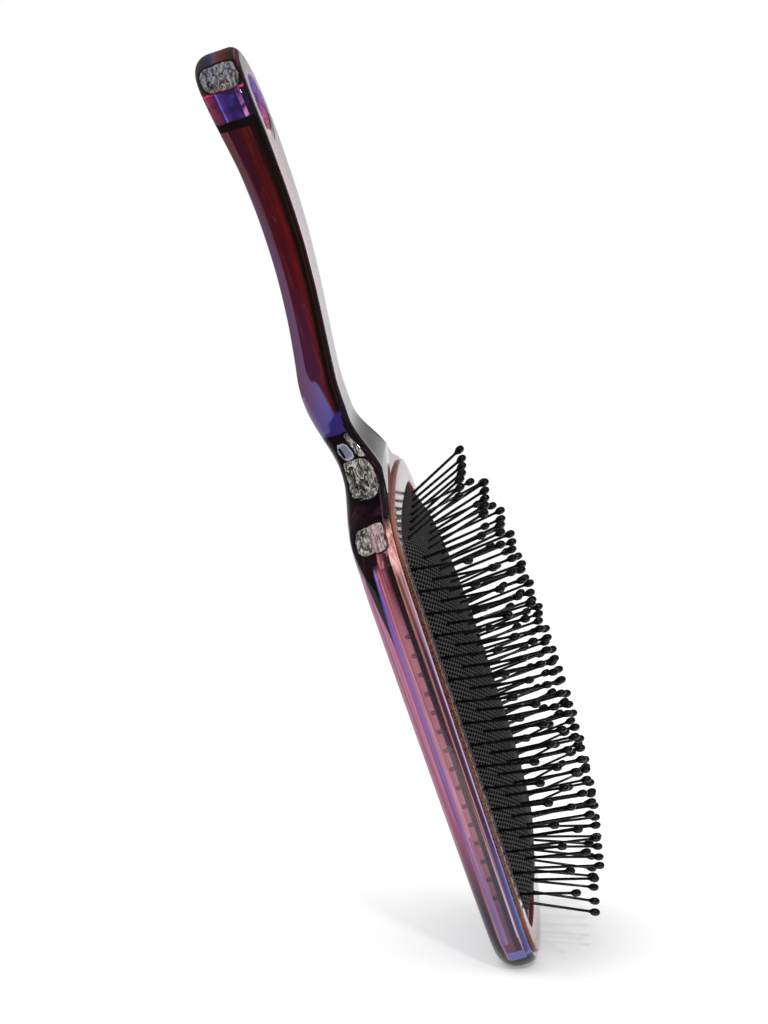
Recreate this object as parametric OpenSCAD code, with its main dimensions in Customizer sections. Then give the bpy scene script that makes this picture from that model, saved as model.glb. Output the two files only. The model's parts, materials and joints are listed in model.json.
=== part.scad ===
// Cushioned detangling brush. The handle and the tray of the head are one clear
// moulding. A rim frame drops into the tray and clamps a domed rubber cushion on a
// castellated seat ring, and the cushion carries eighteen rows of ball-tipped pins.
//
// The brush lies on its back. X runs from the hang hole to the tip of the head,
// Z points the way the pins do, and Z = 0 is the surface that the brush rests on.
// The origin is at the middle of the brush's length and width.

/* [Overall] */
// Length from the handle's end to the head's tip
total_length = 222; // [208:1:236]
// Length of the rim frame, and so of the head
rim_length = 114; // [108:1:120]
// Width of the rim frame
rim_width = 70; // [66:1:76]
// Height of the rim's face above the rest plane, at the middle of the head
rim_height = 12.7; // [12:0.1:15]

/* [Handle] */
// Width of the rounded end of the handle
end_width = 25; // [22:0.5:28]
// Width at the neck, the narrowest place
neck_width = 17.4; // [15:0.2:20]
// Diameter of the hang hole
hang_hole_d = 12.4; // [9:0.2:13]
// Distance from the handle's end to the middle of the hang hole
hang_hole_at = 13.2; // [12:0.1:15]

/* [Head] */
// How far the tray stands out all round the rim frame
tray_lip = 2; // [1.4:0.1:2.6]
// Thickness of the tray's side wall
tray_wall = 3.2; // [2.6:0.1:3.6]
// Depth of the tray's floor below the rim's face
tray_depth = 8.2; // [7.8:0.1:8.6]
// Width of the flat border of the rim frame
rim_border = 5.8; // [5.2:0.1:6.2]
// Thickness of the flat border
rim_thickness = 0.9; // [0.7:0.1:1.2]

/* [Cushion and pins] */
// Height of the cushion's crown above its clamped edge
crown_height = 8.9; // [7:0.1:10]
// Thickness of the rubber
rubber_thickness = 1.8; // [1.4:0.1:2]
// Length of a pin from the cushion to its tip
pin_length = 16.5; // [14:0.5:19]
// Diameter of a pin's shaft
shaft_d = 0.7; // [0.6:0.05:1]
// Diameter of the ball at a pin's tip
ball_d = 1.7; // [1.4:0.1:2.2]

/* [Hidden] */

half_length = total_length / 2;
// From the handle's end to where the tray begins
handle_length = total_length - 2 * tray_lip - rim_length;

// The head has a frame of its own. Its origin is on the rim's face at the middle
// of the head, and the face falls a little toward the tip.
head_tilt = 0.92;
head_x = half_length - tray_lip - rim_length / 2;

// Outline of the rim frame: two long sides, two gently arched ends, round corners
tip_arch_r = 158;
tip_corner_r = 10.5;
neck_arch_r = 183;
neck_corner_r = 12.7;
arch_steps = 5;
corner_steps = 7;

// Edges of the moulding
back_edge_r = 5.6;
handle_back_r = 3.9;
front_edge_r = 2.3;
back_crown = 3;
rest_cut = 0.22;
seat_rise = 0.35;
end_half = 0.9;
hole_lip = 0.8;

// The cushion is clamped between the skirt of the rim frame and the seat ring
part_gap = 0.2;
skirt_wall = 1.2;
seat_wall = 2.4;
skirt_depth = 2.6;
seat_inset = tray_wall - tray_lip + part_gap;
seat_far = rim_width / 2 - seat_inset;
clamp_top = -skirt_depth;
clamp_bottom = clamp_top - rubber_thickness;
facing = 0.5;
bond = 0.4;

// Castellations of the seat ring, and the rubber lugs that fill them
notch_count = 15;
notch_pitch = 4.7;
notch_width = 1.4;
notch_depth = 1.1;
notch_shift = 3;
lug_gap = 0.1;

// How far a cut runs past what it cuts
overrun = 10;

// The pin field: rows across the head, one pin in each cell
row_count = 18;
col_count = 9;
end_row_cols = 7;
field_margin_neck = 0.9;
field_margin_tip = 2.6;
field_margin_side = 0.35;
field_shift = (field_margin_neck - field_margin_tip) / 2;
field_x = rim_length - 2 * rim_border - field_margin_neck - field_margin_tip;
field_y = rim_width - 2 * rim_border - 2 * field_margin_side;
row_pitch = field_x / row_count;
col_pitch = field_y / col_count;

// The dome falls from its crown as a share of the height: slowly along the head and
// then steeply at the ends, evenly across it, and whichever falls more counts
crown_fall_share = 0.45;
crown_power = 2;
end_power = 12;
side_power = 2.1;
corner_power = 4;
// The pins lean no further than this along the head
most_lean = 27;

// A pin has four sides: its root, the neck below the ball, the widest ring, the
// ring above it, and the tip
side_swell_share = 1.11;
root_share = 1.25;
ball_length_share = 1.6;
shaft_r = shaft_d / 2 * side_swell_share;
ball_r = ball_d / 2 * side_swell_share;
root_r = shaft_r * root_share;
ball_length = ball_d * ball_length_share;
belly_share = 0.52;
shoulder_share = 0.2;
shoulder_r_share = 0.72;

clear_plastic = [0.36, 0.10, 0.20];
rim_plastic = [0.86, 0.55, 0.50];
ring_plastic = [0.78, 0.48, 0.56];
rubber = [0.11, 0.11, 0.11];
pin_plastic = [0.05, 0.05, 0.06];

// Shares of the handle's length, of half the end's width and of half the neck's
// width: the sum of the last two is the handle's half width there
handle_plan_shares = [
    [0.14, 1, 0], [0.24, 0.96, 0], [0.39, 0.5, 0.51], [0.57, 0.22, 0.77],
    [0.73, 0, 1.01], [0.82, 0, 1], [0.89, 0, 1.15], [0.945, 0, 1.47],
    [0.985, 0, 1.91]];

// Shares of the handle's length and of the grip's rise: how far the back of the
// handle stands off the rest plane. It touches at its end, at the neck and again
// where the head begins.
grip_rise = 4.8;
back_shares = [
    [0, 0.35], [0.035, 0.3], [0.083, 0.43], [0.124, 0.58], [0.166, 0.7], [0.21, 0.825],
    [0.25, 0.92], [0.295, 0.967], [0.34, 0.996], [0.383, 0.99], [0.427, 0.963],
    [0.47, 0.917], [0.514, 0.84], [0.56, 0.727], [0.604, 0.6], [0.648, 0.44],
    [0.693, 0.26], [0.738, 0.07], [0.783, 0], [0.827, 0.1], [0.87, 0.32],
    [0.91, 0.55], [0.947, 0.68], [0.98, 0.66], [1.013, 0.525], [1.06, 0.275],
    [1.103, 0.1], [1.15, 0.03], [1.2, 0], [1.98, 0], [2.13, 0.1]];
// Shares of the handle's length and of its height: the front of the handle
handle_height = 13.2;
front_shares = [
    [0, 0.91], [0.03, 0.927], [0.06, 0.945], [0.12, 0.97], [0.185, 0.992], [0.25, 1],
    [0.31, 1], [0.36, 0.994], [0.4, 0.982], [0.447, 0.962], [0.49, 0.931],
    [0.535, 0.897], [0.58, 0.854], [0.624, 0.809], [0.67, 0.762], [0.713, 0.719],
    [0.759, 0.681], [0.805, 0.672], [2.13, 0.672]];
// Where the front of the neck starts to rise to the tray, and where it gets there
neck_rise_shares = [0.84, 0.985];
// Where the round of the back edge starts to grow, and where it is full
edge_growth_shares = [0.86, 1.12];
// The neck's curve takes over from the tray's outline at this share of the rim width
neck_end_share = 0.33;

function head_z(x) = rim_height - (x - head_x) * tan(head_tilt);

// Smooth curve through [x, z] points
function slope(p, i) =
    let (a = max(i - 1, 0), b = min(i + 1, len(p) - 1))
    (p[b][1] - p[a][1]) / (p[b][0] - p[a][0]);
function segment(p, x, i = 0) =
    i >= len(p) - 2 || x < p[i + 1][0] ? i : segment(p, x, i + 1);
function smooth(p, x) =
    let (i = segment(p, x), w = p[i + 1][0] - p[i][0],
         t = min(max((x - p[i][0]) / w, 0), 1),
         s0 = slope(p, i) * w, s1 = slope(p, i + 1) * w)
    p[i][1] * (1 + 2 * t) * (1 - t) ^ 2 + s0 * t * (1 - t) ^ 2
    + p[i + 1][1] * t ^ 2 * (3 - 2 * t) - s1 * t ^ 2 * (1 - t);

// Half of the head's outline from the neck end's middle to the tip's middle, drawn
// in by "inset", in the head's own frame
function end_half_outline(apex, half_w, arch_r, corner_r, inset) =
    let (b = half_w - inset, r = corner_r - inset, big = arch_r - inset,
         cy = b - r, spread = asin(cy / (big - r)),
         cx = apex - inset - big + (big - r) * cos(spread))
    concat(
        [for (i = [0 : arch_steps - 1])
            let (a = spread * i / arch_steps)
            [apex - inset - big + big * cos(a), big * sin(a)]],
        [for (i = [0 : corner_steps])
            let (a = spread + (90 - spread) * i / corner_steps)
            [cx + r * cos(a), cy + r * sin(a)]]);
function tip_half(inset) =
    end_half_outline(rim_length / 2, rim_width / 2, tip_arch_r, tip_corner_r, inset);
function neck_half(inset) =
    [for (p = end_half_outline(rim_length / 2, rim_width / 2,
                               neck_arch_r, neck_corner_r, inset)) [-p[0], p[1]]];
function backward(list) = [for (i = [len(list) - 1 : -1 : 0]) list[i]];
function mirrored(list) = [for (p = list) [p[0], -p[1]]];
function without_first(list) = [for (i = [1 : len(list) - 1]) list[i]];
function head_outline(inset) =
    let (side = concat(neck_half(inset), backward(tip_half(inset))))
    concat(side, without_first(mirrored(backward(without_first(side)))));

module in_head() {
    translate([head_x, 0, rim_height])
        rotate([0, head_tilt, 0])
            children();
}

module head_plate(inset, low, high) {
    translate([0, 0, low])
        linear_extrude(high - low)
            polygon(head_outline(inset));
}

module head_ring(outer, inner, low, high) {
    translate([0, 0, low])
        linear_extrude(high - low)
            difference() {
                polygon(head_outline(outer));
                polygon(head_outline(inner));
            }
}

// The moulding's half outline, station by station, from the handle's end to the tip
end_steps = 7;
function end_arc() =
    let (b = end_width / 2, first = asin(end_half / b),
         end_round = handle_plan_shares[0][0] * handle_length)
    [for (i = [0 : end_steps - 1])
        let (a = first + (90 - first) * i / end_steps)
        [end_round * (1 - cos(a)) - half_length, b * sin(a)]];
function plan_point(p) =
    [p[0] * handle_length - half_length,
     (p[1] * end_width + p[2] * neck_width) / 2];
function head_side() =
    [for (p = neck_half(-tray_lip))
        if (p[1] > rim_width * neck_end_share) [p[0] + head_x, p[1]]];
function head_tip() =
    [for (p = backward(tip_half(-tray_lip)))
        [p[0] + head_x, max(p[1], end_half)]];
function catmull(a, b, c, d, t) =
    (2 * b + (c - a) * t + (2 * a - 5 * b + 4 * c - d) * t ^ 2
     + (3 * b - a - 3 * c + d) * t ^ 3) / 2;
function refined(p, n) =
    [for (i = [0 : len(p) - 2], k = [0 : n - 1])
        catmull(p[max(i - 1, 0)], p[i], p[i + 1], p[min(i + 2, len(p) - 1)], k / n)];
function side_run() =
    let (a = head_side(), b = head_tip(), last = a[len(a) - 1])
    [for (i = [1 : 3]) last + (b[0] - last) * i / 4];
function half_plan() =
    concat(end_arc(),
           refined(concat([for (p = handle_plan_shares) plan_point(p)], [head_side()[0]]), 3),
           head_side(), side_run(), head_tip());

function outward(p, i) =
    let (a = p[max(i - 1, 0)], b = p[min(i + 1, len(p) - 1)], d = b - a)
    [-d[1], d[0]] / norm(d);
function from_end(x) = (x + half_length) / handle_length;
function ease(x, shares) =
    let (t = min(max((from_end(x) - shares[0]) / (shares[1] - shares[0]), 0), 1))
    t ^ 2 * (3 - 2 * t);
function back_z(x) = smooth(back_shares, from_end(x)) * grip_rise - rest_cut;
function front_z(x) =
    let (t = ease(x, neck_rise_shares))
    (1 - t) * smooth(front_shares, from_end(x)) * handle_height
    + t * (head_z(x) - rim_thickness + seat_rise);
// The back edge is rounder on the head than on the handle, and only the head's
// back is crowned
function growing(x, low, high) = low + (high - low) * ease(x, edge_growth_shares);

// One side of a cross-section, from the middle of the back round to the middle of
// the front
round_steps = 4;
crown_steps = 3;
function section(p, i) =
    let (o = p[i], n = outward(p, i), rb = growing(o[0], handle_back_r, back_edge_r),
         rf = front_edge_r, crown = growing(o[0], 0, back_crown),
         bx = o[0] - n[0] * rb, by = max(o[1] - n[1] * rb, end_half / 2),
         fx = o[0] - n[0] * rf, fy = max(o[1] - n[1] * rf, end_half / 2),
         zb = back_z(bx), zf = front_z(fx),
         wide = rim_width / 2,
         ze = zb + crown * (by / wide) ^ 2)
    concat(
        [for (k = [0 : crown_steps - 1])
            let (y = by * k / crown_steps)
            [bx, y, zb + crown * (y / wide) ^ 2]],
        [for (k = [0 : round_steps])
            let (a = 90 * k / round_steps, in = rb * (1 - sin(a)))
            [o[0] - n[0] * in, max(o[1] - n[1] * in, end_half / 2), ze + rb * (1 - cos(a))]],
        [for (k = [0 : round_steps])
            let (a = 90 * k / round_steps, in = rf * (1 - cos(a)))
            [o[0] - n[0] * in, max(o[1] - n[1] * in, end_half / 2),
             zf - rf * (1 - sin(a))]],
        [for (k = [1 : crown_steps])
            [fx, fy * (1 - k / crown_steps), zf]]);

module moulding() {
    plan = half_plan();
    halves = [for (i = [0 : len(plan) - 1]) section(plan, i)];
    m = len(halves[0]);
    ring = 2 * m - 2;
    rings = len(halves);
    pts = [for (h = halves) each concat(h, [for (k = [m - 2 : -1 : 1])
                                            [h[k][0], -h[k][1], h[k][2]]])];
    walls = [for (i = [0 : rings - 2], k = [0 : ring - 1])
        let (a = i * ring + k, b = i * ring + (k + 1) % ring,
             c = a + ring, d = b + ring)
        each [[a, d, b], [a, c, d]]];
    // An end is closed by strips between its two halves, and by fans where the
    // middle of the back and of the front are straight lines
    c = crown_steps;
    low_left = ring - c - 1;
    high_right = m - 2 - c;
    cap = concat(
        [for (k = [-c : c - 1]) [(ring + k + 1) % ring, (ring + k) % ring, low_left]],
        [[c + 1, c, low_left]],
        [for (k = [c + 1 : high_right - 1])
            each [[k, ring - k, ring - k - 1], [k, ring - k - 1, k + 1]]],
        [for (k = [m - 1 - c : m - 2 + c]) [k + 1, k, high_right]],
        [[ring - high_right, m - 1 + c, high_right]]);
    last = (rings - 1) * ring;
    polyhedron(pts, concat(walls, [for (f = cap) [f[0], f[2], f[1]]],
                           [for (f = cap) [f[0] + last, f[1] + last, f[2] + last]]),
               convexity = 6);
}

module body() {
    hole_x = hang_hole_at - half_length;
    tray_x = rim_length / 2 + tray_lip + overrun;
    tray_y = rim_width / 2 + tray_lip + overrun;
    color(clear_plastic)
        difference() {
            moulding();
            translate([-half_length - overrun, -tray_y, -overrun])
                cube([total_length + 2 * overrun, 2 * tray_y, overrun]);
            in_head() {
                translate([-tray_x, -tray_y, -rim_thickness])
                    cube([2 * tray_x, 2 * tray_y, overrun]);
                head_plate(tray_wall - tray_lip, -tray_depth, overrun);
            }
            translate([hole_x, 0, -overrun])
                cylinder(h = handle_height + 2 * overrun, d = hang_hole_d, $fn = 96);
            translate([hole_x, 0, front_z(hole_x) - hole_lip])
                cylinder(h = 2 * hole_lip, r1 = hang_hole_d / 2,
                         r2 = hang_hole_d / 2 + 2 * hole_lip, $fn = 96);
            translate([hole_x, 0, back_z(hole_x) - hole_lip])
                cylinder(h = 2 * hole_lip, r1 = hang_hole_d / 2 + 2 * hole_lip,
                         r2 = hang_hole_d / 2, $fn = 96);
        }
}

module rim_frame() {
    color(rim_plastic)
        in_head() {
            head_ring(0, rim_border, -rim_thickness, 0);
            head_ring(seat_inset, seat_inset + skirt_wall, clamp_top, -rim_thickness / 2);
        }
}

// Trapezoids at the notch pitch along both long sides, wide at the top, between two
// distances from the middle line
module castellations(width, depth, near, far) {
    for (side = [-1, 1], i = [0 : notch_count - 1])
        translate([notch_shift + (i - (notch_count - 1) / 2) * notch_pitch,
                   side * (near + far) / 2, clamp_bottom])
            rotate([90, 0, 0])
                linear_extrude(far - near, center = true)
                    polygon([[-width / 2, part_gap], [-width / 2, 0],
                             [-width / 3, -depth], [width / 3, -depth],
                             [width / 2, 0], [width / 2, part_gap]]);
}

module seat_ring() {
    color(ring_plastic)
        in_head()
            difference() {
                head_ring(seat_inset, seat_inset + seat_wall, -tray_depth, clamp_bottom);
                castellations(notch_width, notch_depth, seat_far - seat_wall - overrun,
                              seat_far + overrun);
            }
}

// Height of the rubber's upper face in the head's frame, and the way its pins point
function long_fall(u) =
    crown_fall_share * u ^ crown_power + (1 - crown_fall_share) * u ^ end_power;
function long_rate(u) =
    crown_fall_share * crown_power * u ^ (crown_power - 1)
    + (1 - crown_fall_share) * end_power * u ^ (end_power - 1);
function along(x) = abs(x - field_shift) / (field_x / 2);
function across(y) = abs(y) / (field_y / 2);
function fall(x, y) =
    (long_fall(along(x)) ^ corner_power + across(y) ^ (side_power * corner_power))
    ^ (1 / corner_power);
function dome(x, y) = clamp_top + crown_height * max(1 - fall(x, y), 0);
function pin_way(x, y) =
    let (u = along(x), v = across(y), all = max(fall(x, y), 0.0001),
         gx = (long_fall(u) / all) ^ (corner_power - 1) * long_rate(u) / (field_x / 2),
         gy = (v ^ side_power / all) ^ (corner_power - 1)
              * side_power * v ^ (side_power - 1) / (field_y / 2),
         n = [sign(x - field_shift) * min(gx * crown_height, tan(most_lean)),
              sign(y) * gy * crown_height, 1])
    n / norm(n);
function line_x(i) = field_shift - field_x / 2 + i * row_pitch;
function line_y(j) = -field_y / 2 + j * col_pitch;

module rubber_dome() {
    nx = row_count + 1;
    ny = col_count + 1;
    top = [for (i = [0 : nx - 1], j = [0 : ny - 1])
        [line_x(i), line_y(j), dome(line_x(i), line_y(j))]];
    low = [for (p = top) [p[0], p[1], p[2] - rubber_thickness]];
    n = nx * ny;
    upper = [for (i = [0 : nx - 2], j = [0 : ny - 2])
        let (a = i * ny + j, b = a + ny)
        each [[a, a + 1, b + 1], [a, b + 1, b]]];
    lower = [for (f = upper) [f[2] + n, f[1] + n, f[0] + n]];
    edge = concat([for (j = [0 : ny - 1]) j],
                  [for (i = [1 : nx - 1]) i * ny + ny - 1],
                  [for (j = [ny - 2 : -1 : 0]) (nx - 1) * ny + j],
                  [for (i = [nx - 2 : -1 : 1]) i * ny]);
    sides = [for (k = [0 : len(edge) - 1])
        let (a = edge[k], b = edge[(k + 1) % len(edge)])
        each [[a, b + n, b], [a, a + n, b + n]]];
    polyhedron(concat(top, low), concat(upper, lower, sides), convexity = 6);
}

module cushion() {
    color(rubber)
        in_head() {
            translate([0, 0, clamp_bottom])
                linear_extrude(rubber_thickness)
                    difference() {
                        polygon(head_outline(seat_inset));
                        translate([field_shift, 0])
                            square([field_x - 2 * bond, field_y - 2 * bond],
                                   center = true);
                    }
            rubber_dome();
            castellations(notch_width - 2 * lug_gap, notch_depth - lug_gap,
                          seat_far - seat_wall, seat_far);
        }
}

// One row of pins on its slice of the cushion's facing, as one closed surface
function has_pin(row, col) =
    row > 0 && row < row_count - 1
    || abs(col - (col_count - 1) / 2) <= (end_row_cols - 1) / 2;
function ring_of(c, e1, e2, r) =
    [for (q = [[-1, -1], [1, -1], [1, 1], [-1, 1]])
        c + (e1 * q[0] + e2 * q[1]) * r / sqrt(2)];
function pin_points(x, y) =
    let (n = pin_way(x, y), f = cross([0, 1, 0], n), e1 = f / norm(f),
         e2 = cross(n, e1), root = [x, y, dome(x, y) + facing],
         tip = root + n * pin_length)
    concat(
        [for (q = [[-1, -1], [1, -1], [1, 1], [-1, 1]])
            let (px = x + q[0] * root_r / sqrt(2), py = y + q[1] * root_r / sqrt(2))
            [px, py, dome(px, py) + facing]],
        ring_of(tip - n * ball_length, e1, e2, shaft_r),
        ring_of(tip - n * ball_length * belly_share, e1, e2, ball_r),
        ring_of(tip - n * ball_length * shoulder_share, e1, e2,
                ball_r * shoulder_r_share),
        [tip]);
pin_point_count = 17;
function pin_faces(b) = concat(
    [for (r = [0 : 2], k = [0 : 3])
        let (a = b + 4 * r + k, c = b + 4 * r + (k + 1) % 4)
        each [[a, a + 4, c + 4], [a, c + 4, c]]],
    [for (k = [0 : 3]) [b + 12 + k, b + 16, b + 12 + (k + 1) % 4]]);

module pin_row(row) {
    x0 = line_x(row);
    x1 = line_x(row + 1);
    m = col_count + 1;
    frame_pts = [for (h = [0, facing], x = [x0, x1], j = [0 : col_count])
        [x, line_y(j), dome(x, line_y(j)) + h]];
    cells = [for (c = [0 : col_count - 1]) if (has_pin(row, c)) c];
    bases = [for (k = [0 : len(cells) - 1]) 4 * m + k * pin_point_count];
    pts = concat(frame_pts, [for (c = cells)
        each pin_points((x0 + x1) / 2, (line_y(c) + line_y(c + 1)) / 2)]);
    under = [for (c = [0 : col_count - 1]) each [[c, m + c + 1, c + 1], [c, m + c, m + c + 1]]];
    plain = [for (c = [0 : col_count - 1]) if (!has_pin(row, c))
        let (a = 2 * m + c, d = 3 * m + c)
        each [[a, a + 1, d + 1], [a, d + 1, d]]];
    round_pins = [for (k = [0 : len(cells) - 1])
        let (a = 2 * m + cells[k], d = 3 * m + cells[k],
             o = [a, d, d + 1, a + 1], b = bases[k])
        each [for (s = [0 : 3])
            let (t = (s + 1) % 4)
            each [[o[s], b + s, b + t], [o[s], b + t, o[t]]]]];
    walls = [for (c = [0 : col_count - 1])
        each [[c, c + 1, 2 * m + c + 1], [c, 2 * m + c + 1, 2 * m + c],
              [m + c, 3 * m + c + 1, m + c + 1], [m + c, 3 * m + c, 3 * m + c + 1]]];
    ends = [[0, 2 * m, 3 * m], [0, 3 * m, m],
            [m - 1, 4 * m - 1, 3 * m - 1], [m - 1, 2 * m - 1, 4 * m - 1]];
    color(pin_plastic)
        in_head()
            polyhedron(pts, concat(under, plain, round_pins, walls, ends,
                                   [for (b = bases) each pin_faces(b)]),
                       convexity = 10);
}

body();
rim_frame();
seat_ring();
cushion();
for (row = [0 : row_count - 1])
    pin_row(row);
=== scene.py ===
# %% [markdown]
# # Dressing a detangling brush
# The brush was first built as plain solids, and here it gets the shapes and finishes
# of the real one. The imported solids are loaded as a fixed frame, and every new piece is
# placed in it in metres.

# %% Load the imported brush
import json
from math import asin, atan2, cos, pi, radians, sin, tan
import random
import bpy
from mathutils import Matrix, Vector

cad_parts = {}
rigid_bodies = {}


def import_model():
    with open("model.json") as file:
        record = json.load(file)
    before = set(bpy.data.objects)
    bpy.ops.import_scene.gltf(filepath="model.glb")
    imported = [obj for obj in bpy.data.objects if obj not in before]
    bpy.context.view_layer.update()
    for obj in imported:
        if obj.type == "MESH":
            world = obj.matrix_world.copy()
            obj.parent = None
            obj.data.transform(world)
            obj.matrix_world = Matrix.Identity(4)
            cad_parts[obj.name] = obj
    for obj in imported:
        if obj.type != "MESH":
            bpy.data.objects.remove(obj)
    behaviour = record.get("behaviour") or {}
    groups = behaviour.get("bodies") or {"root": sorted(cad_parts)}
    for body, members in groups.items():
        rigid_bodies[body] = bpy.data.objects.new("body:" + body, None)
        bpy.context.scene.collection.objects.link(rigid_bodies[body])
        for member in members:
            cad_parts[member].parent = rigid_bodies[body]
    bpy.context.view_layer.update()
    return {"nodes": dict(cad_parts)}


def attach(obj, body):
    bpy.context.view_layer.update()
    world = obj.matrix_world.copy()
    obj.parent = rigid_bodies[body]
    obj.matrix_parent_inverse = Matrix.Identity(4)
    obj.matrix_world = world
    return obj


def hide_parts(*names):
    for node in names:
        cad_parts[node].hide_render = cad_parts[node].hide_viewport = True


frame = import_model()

# %% [markdown]
# ## The sizes
# The photograph shows no scale, so the brush is taken to be 222 mm long, as such
# brushes are. All sizes are in millimetres, as on a drawing, and are turned into metres
# when a vertex is placed. The head has a frame of its own: its origin is on the rim's
# face at the middle of the head, and the face falls a little toward the tip. So the
# head's pieces can be drawn level, and are tilted last.

# %% Sizes
half_length = 111.0
handle_length = 104.0
rim_length, rim_width, rim_height = 114.0, 70.0, 12.7
end_width, neck_width = 25.0, 17.4
neck_arch, neck_corner, tip_arch, tip_corner = 183.0, 12.7, 158.0, 10.5
tray_lip, tray_wall, tray_depth = 2.0, 3.2, 8.2
rim_border, rim_thickness, skirt_depth = 5.8, 0.9, 2.6
clamp_top, rubber_thickness, crown_height = -2.6, 1.8, 8.9
head_x, head_tilt = 52.0, radians(0.92)
head_frame = (Matrix.Translation((head_x, 0, rim_height))
              @ Matrix.Rotation(head_tilt, 4, "Y"))
print("length", 2 * half_length, "mm, head", rim_length, "by", rim_width, "mm")

# %% [markdown]
# ## Working on a mesh without a mouse
# The operators do what the buttons in the window do, and they act on all that is
# selected. These helpers select one piece, open and close edit mode, and put its
# vertices where a drawing says. Each new piece starts as a primitive with the right
# number of points, and is then shaped.

# %% Helpers for shaping


def in_metres(points):
    """Points in millimetres, in metres"""
    return [Vector(p) * 0.001 for p in points]


def placed_on_head(points):
    """Points in the head's frame, in the model's frame and in metres"""
    return in_metres([head_frame @ Vector(p) for p in points])


def deselect():
    if bpy.context.object and bpy.context.object.mode != "OBJECT":
        bpy.ops.object.mode_set(mode="OBJECT")
    bpy.ops.object.select_all(action="DESELECT")


def pick(piece):
    """Makes one piece the selected and active one"""
    deselect()
    piece.select_set(True)
    bpy.context.view_layer.objects.active = piece


def in_edit_mode(piece, *steps):
    """Runs edit-mode operators on the whole of a piece"""
    pick(piece)
    bpy.ops.object.mode_set(mode="EDIT")
    select_all()
    for step in steps:
        step()
    bpy.ops.object.mode_set(mode="OBJECT")


def weld():
    bpy.ops.mesh.remove_doubles(threshold=0.000002)


def face_outwards():
    bpy.ops.mesh.normals_make_consistent(inside=False)


def select_all():
    bpy.ops.mesh.select_all(action="SELECT")


def put_vertices(piece, places):
    for vertex, place in zip(piece.data.vertices, places):
        vertex.co = place
    piece.data.update()


def named(name):
    """Names the piece that was just added"""
    piece = bpy.context.object
    piece.name = piece.data.name = name
    return piece


print("head frame at", head_frame.to_translation())

# %% [markdown]
# ## The camera
# The photograph was taken with a long lens, from beside the brush and a little above
# its front, with the brush standing on its tip. A camera could be turned by eye until
# the picture fits. Here the directions of the picture's right and up sides were found
# by matching the brush's outline, and the camera's turn is set from them.

# %% Camera
camera_data = bpy.data.cameras.new("photo_camera")
camera_data.sensor_fit = "VERTICAL"
sensor_height, picture_height, focal_pixels = 24.0, 1024.0, 2765.12
camera_data.sensor_height = sensor_height
camera_data.lens = focal_pixels * sensor_height / picture_height
camera_data.clip_end = 100.0
camera = bpy.data.objects.new("photo_camera", camera_data)
bpy.context.scene.collection.objects.link(camera)
picture_right = Vector((0.3238, 0.0369, 0.9454)).normalized()
picture_up = Vector((-0.9136, 0.2717, 0.3023)).normalized()
toward_camera = picture_right.cross(picture_up).normalized()
picture_up = toward_camera.cross(picture_right)
turn = Matrix((picture_right, picture_up, toward_camera)).transposed().to_4x4()
camera_place = (-0.156558, -0.619801, 0.086767)
camera.matrix_world = Matrix.Translation(camera_place) @ turn
bpy.context.scene.camera = camera
print("lens", round(camera_data.lens, 2), "mm")

# %% [markdown]
# ## The outline of the head
# The rim frame, the tray, the seat ring and the rubber all follow one outline: two
# long sides, two gently arched ends and round corners. It could be a curve with an
# offset, but an offset curve may get other points. One function draws it instead, moved
# in by any distance and always with the same number of points, so that a ring can be
# built by joining the same point of several outlines.

# %% Outline of the head
arch_steps, corner_steps, side_steps = 10, 14, 30


def end_outline(sign, arch_r, corner_r, inset, half_width=rim_width / 2):
    """From the middle of one end to the end of its corner, on the +Y side"""
    r, big = corner_r - inset, arch_r - inset
    cy = half_width - inset - r
    spread = asin(cy / (big - r))
    apex = rim_length / 2 - inset
    cx = apex - big + (big - r) * cos(spread)
    arch = [(apex - big + big * cos(spread * i / arch_steps),
             big * sin(spread * i / arch_steps)) for i in range(arch_steps)]
    corner = [(cx + r * cos(spread + (pi / 2 - spread) * i / corner_steps),
               cy + r * sin(spread + (pi / 2 - spread) * i / corner_steps))
              for i in range(corner_steps + 1)]
    return [(sign * x, y) for x, y in arch + corner]


def neck_end(inset):
    return end_outline(-1, neck_arch, neck_corner, inset)


def tip_end(inset):
    return end_outline(1, tip_arch, tip_corner, inset)


def head_outline(inset):
    """The whole outline, from the middle of the neck end and round"""
    a, b = neck_end(inset), tip_end(inset)[::-1]
    side = [(a[-1][0] + (b[0][0] - a[-1][0]) * i / side_steps, a[-1][1])
            for i in range(1, side_steps)]
    half = a + side + b
    return half + [(x, -y) for x, y in half[-2:0:-1]]


outline_count = len(head_outline(0))
print("outline of", outline_count, "points")

# %% [markdown]
# ## The moulding seen from the side
# The handle and the tray are one clear moulding with an S-curved handle. Sculpting
# such a shape would leave dents that a glossy surface shows, so it is a stack of
# cross-sections that smooth curves drive. Two of them are the heights of the back and
# of the front seen from the side, as shares of the handle's length and height.

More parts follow.
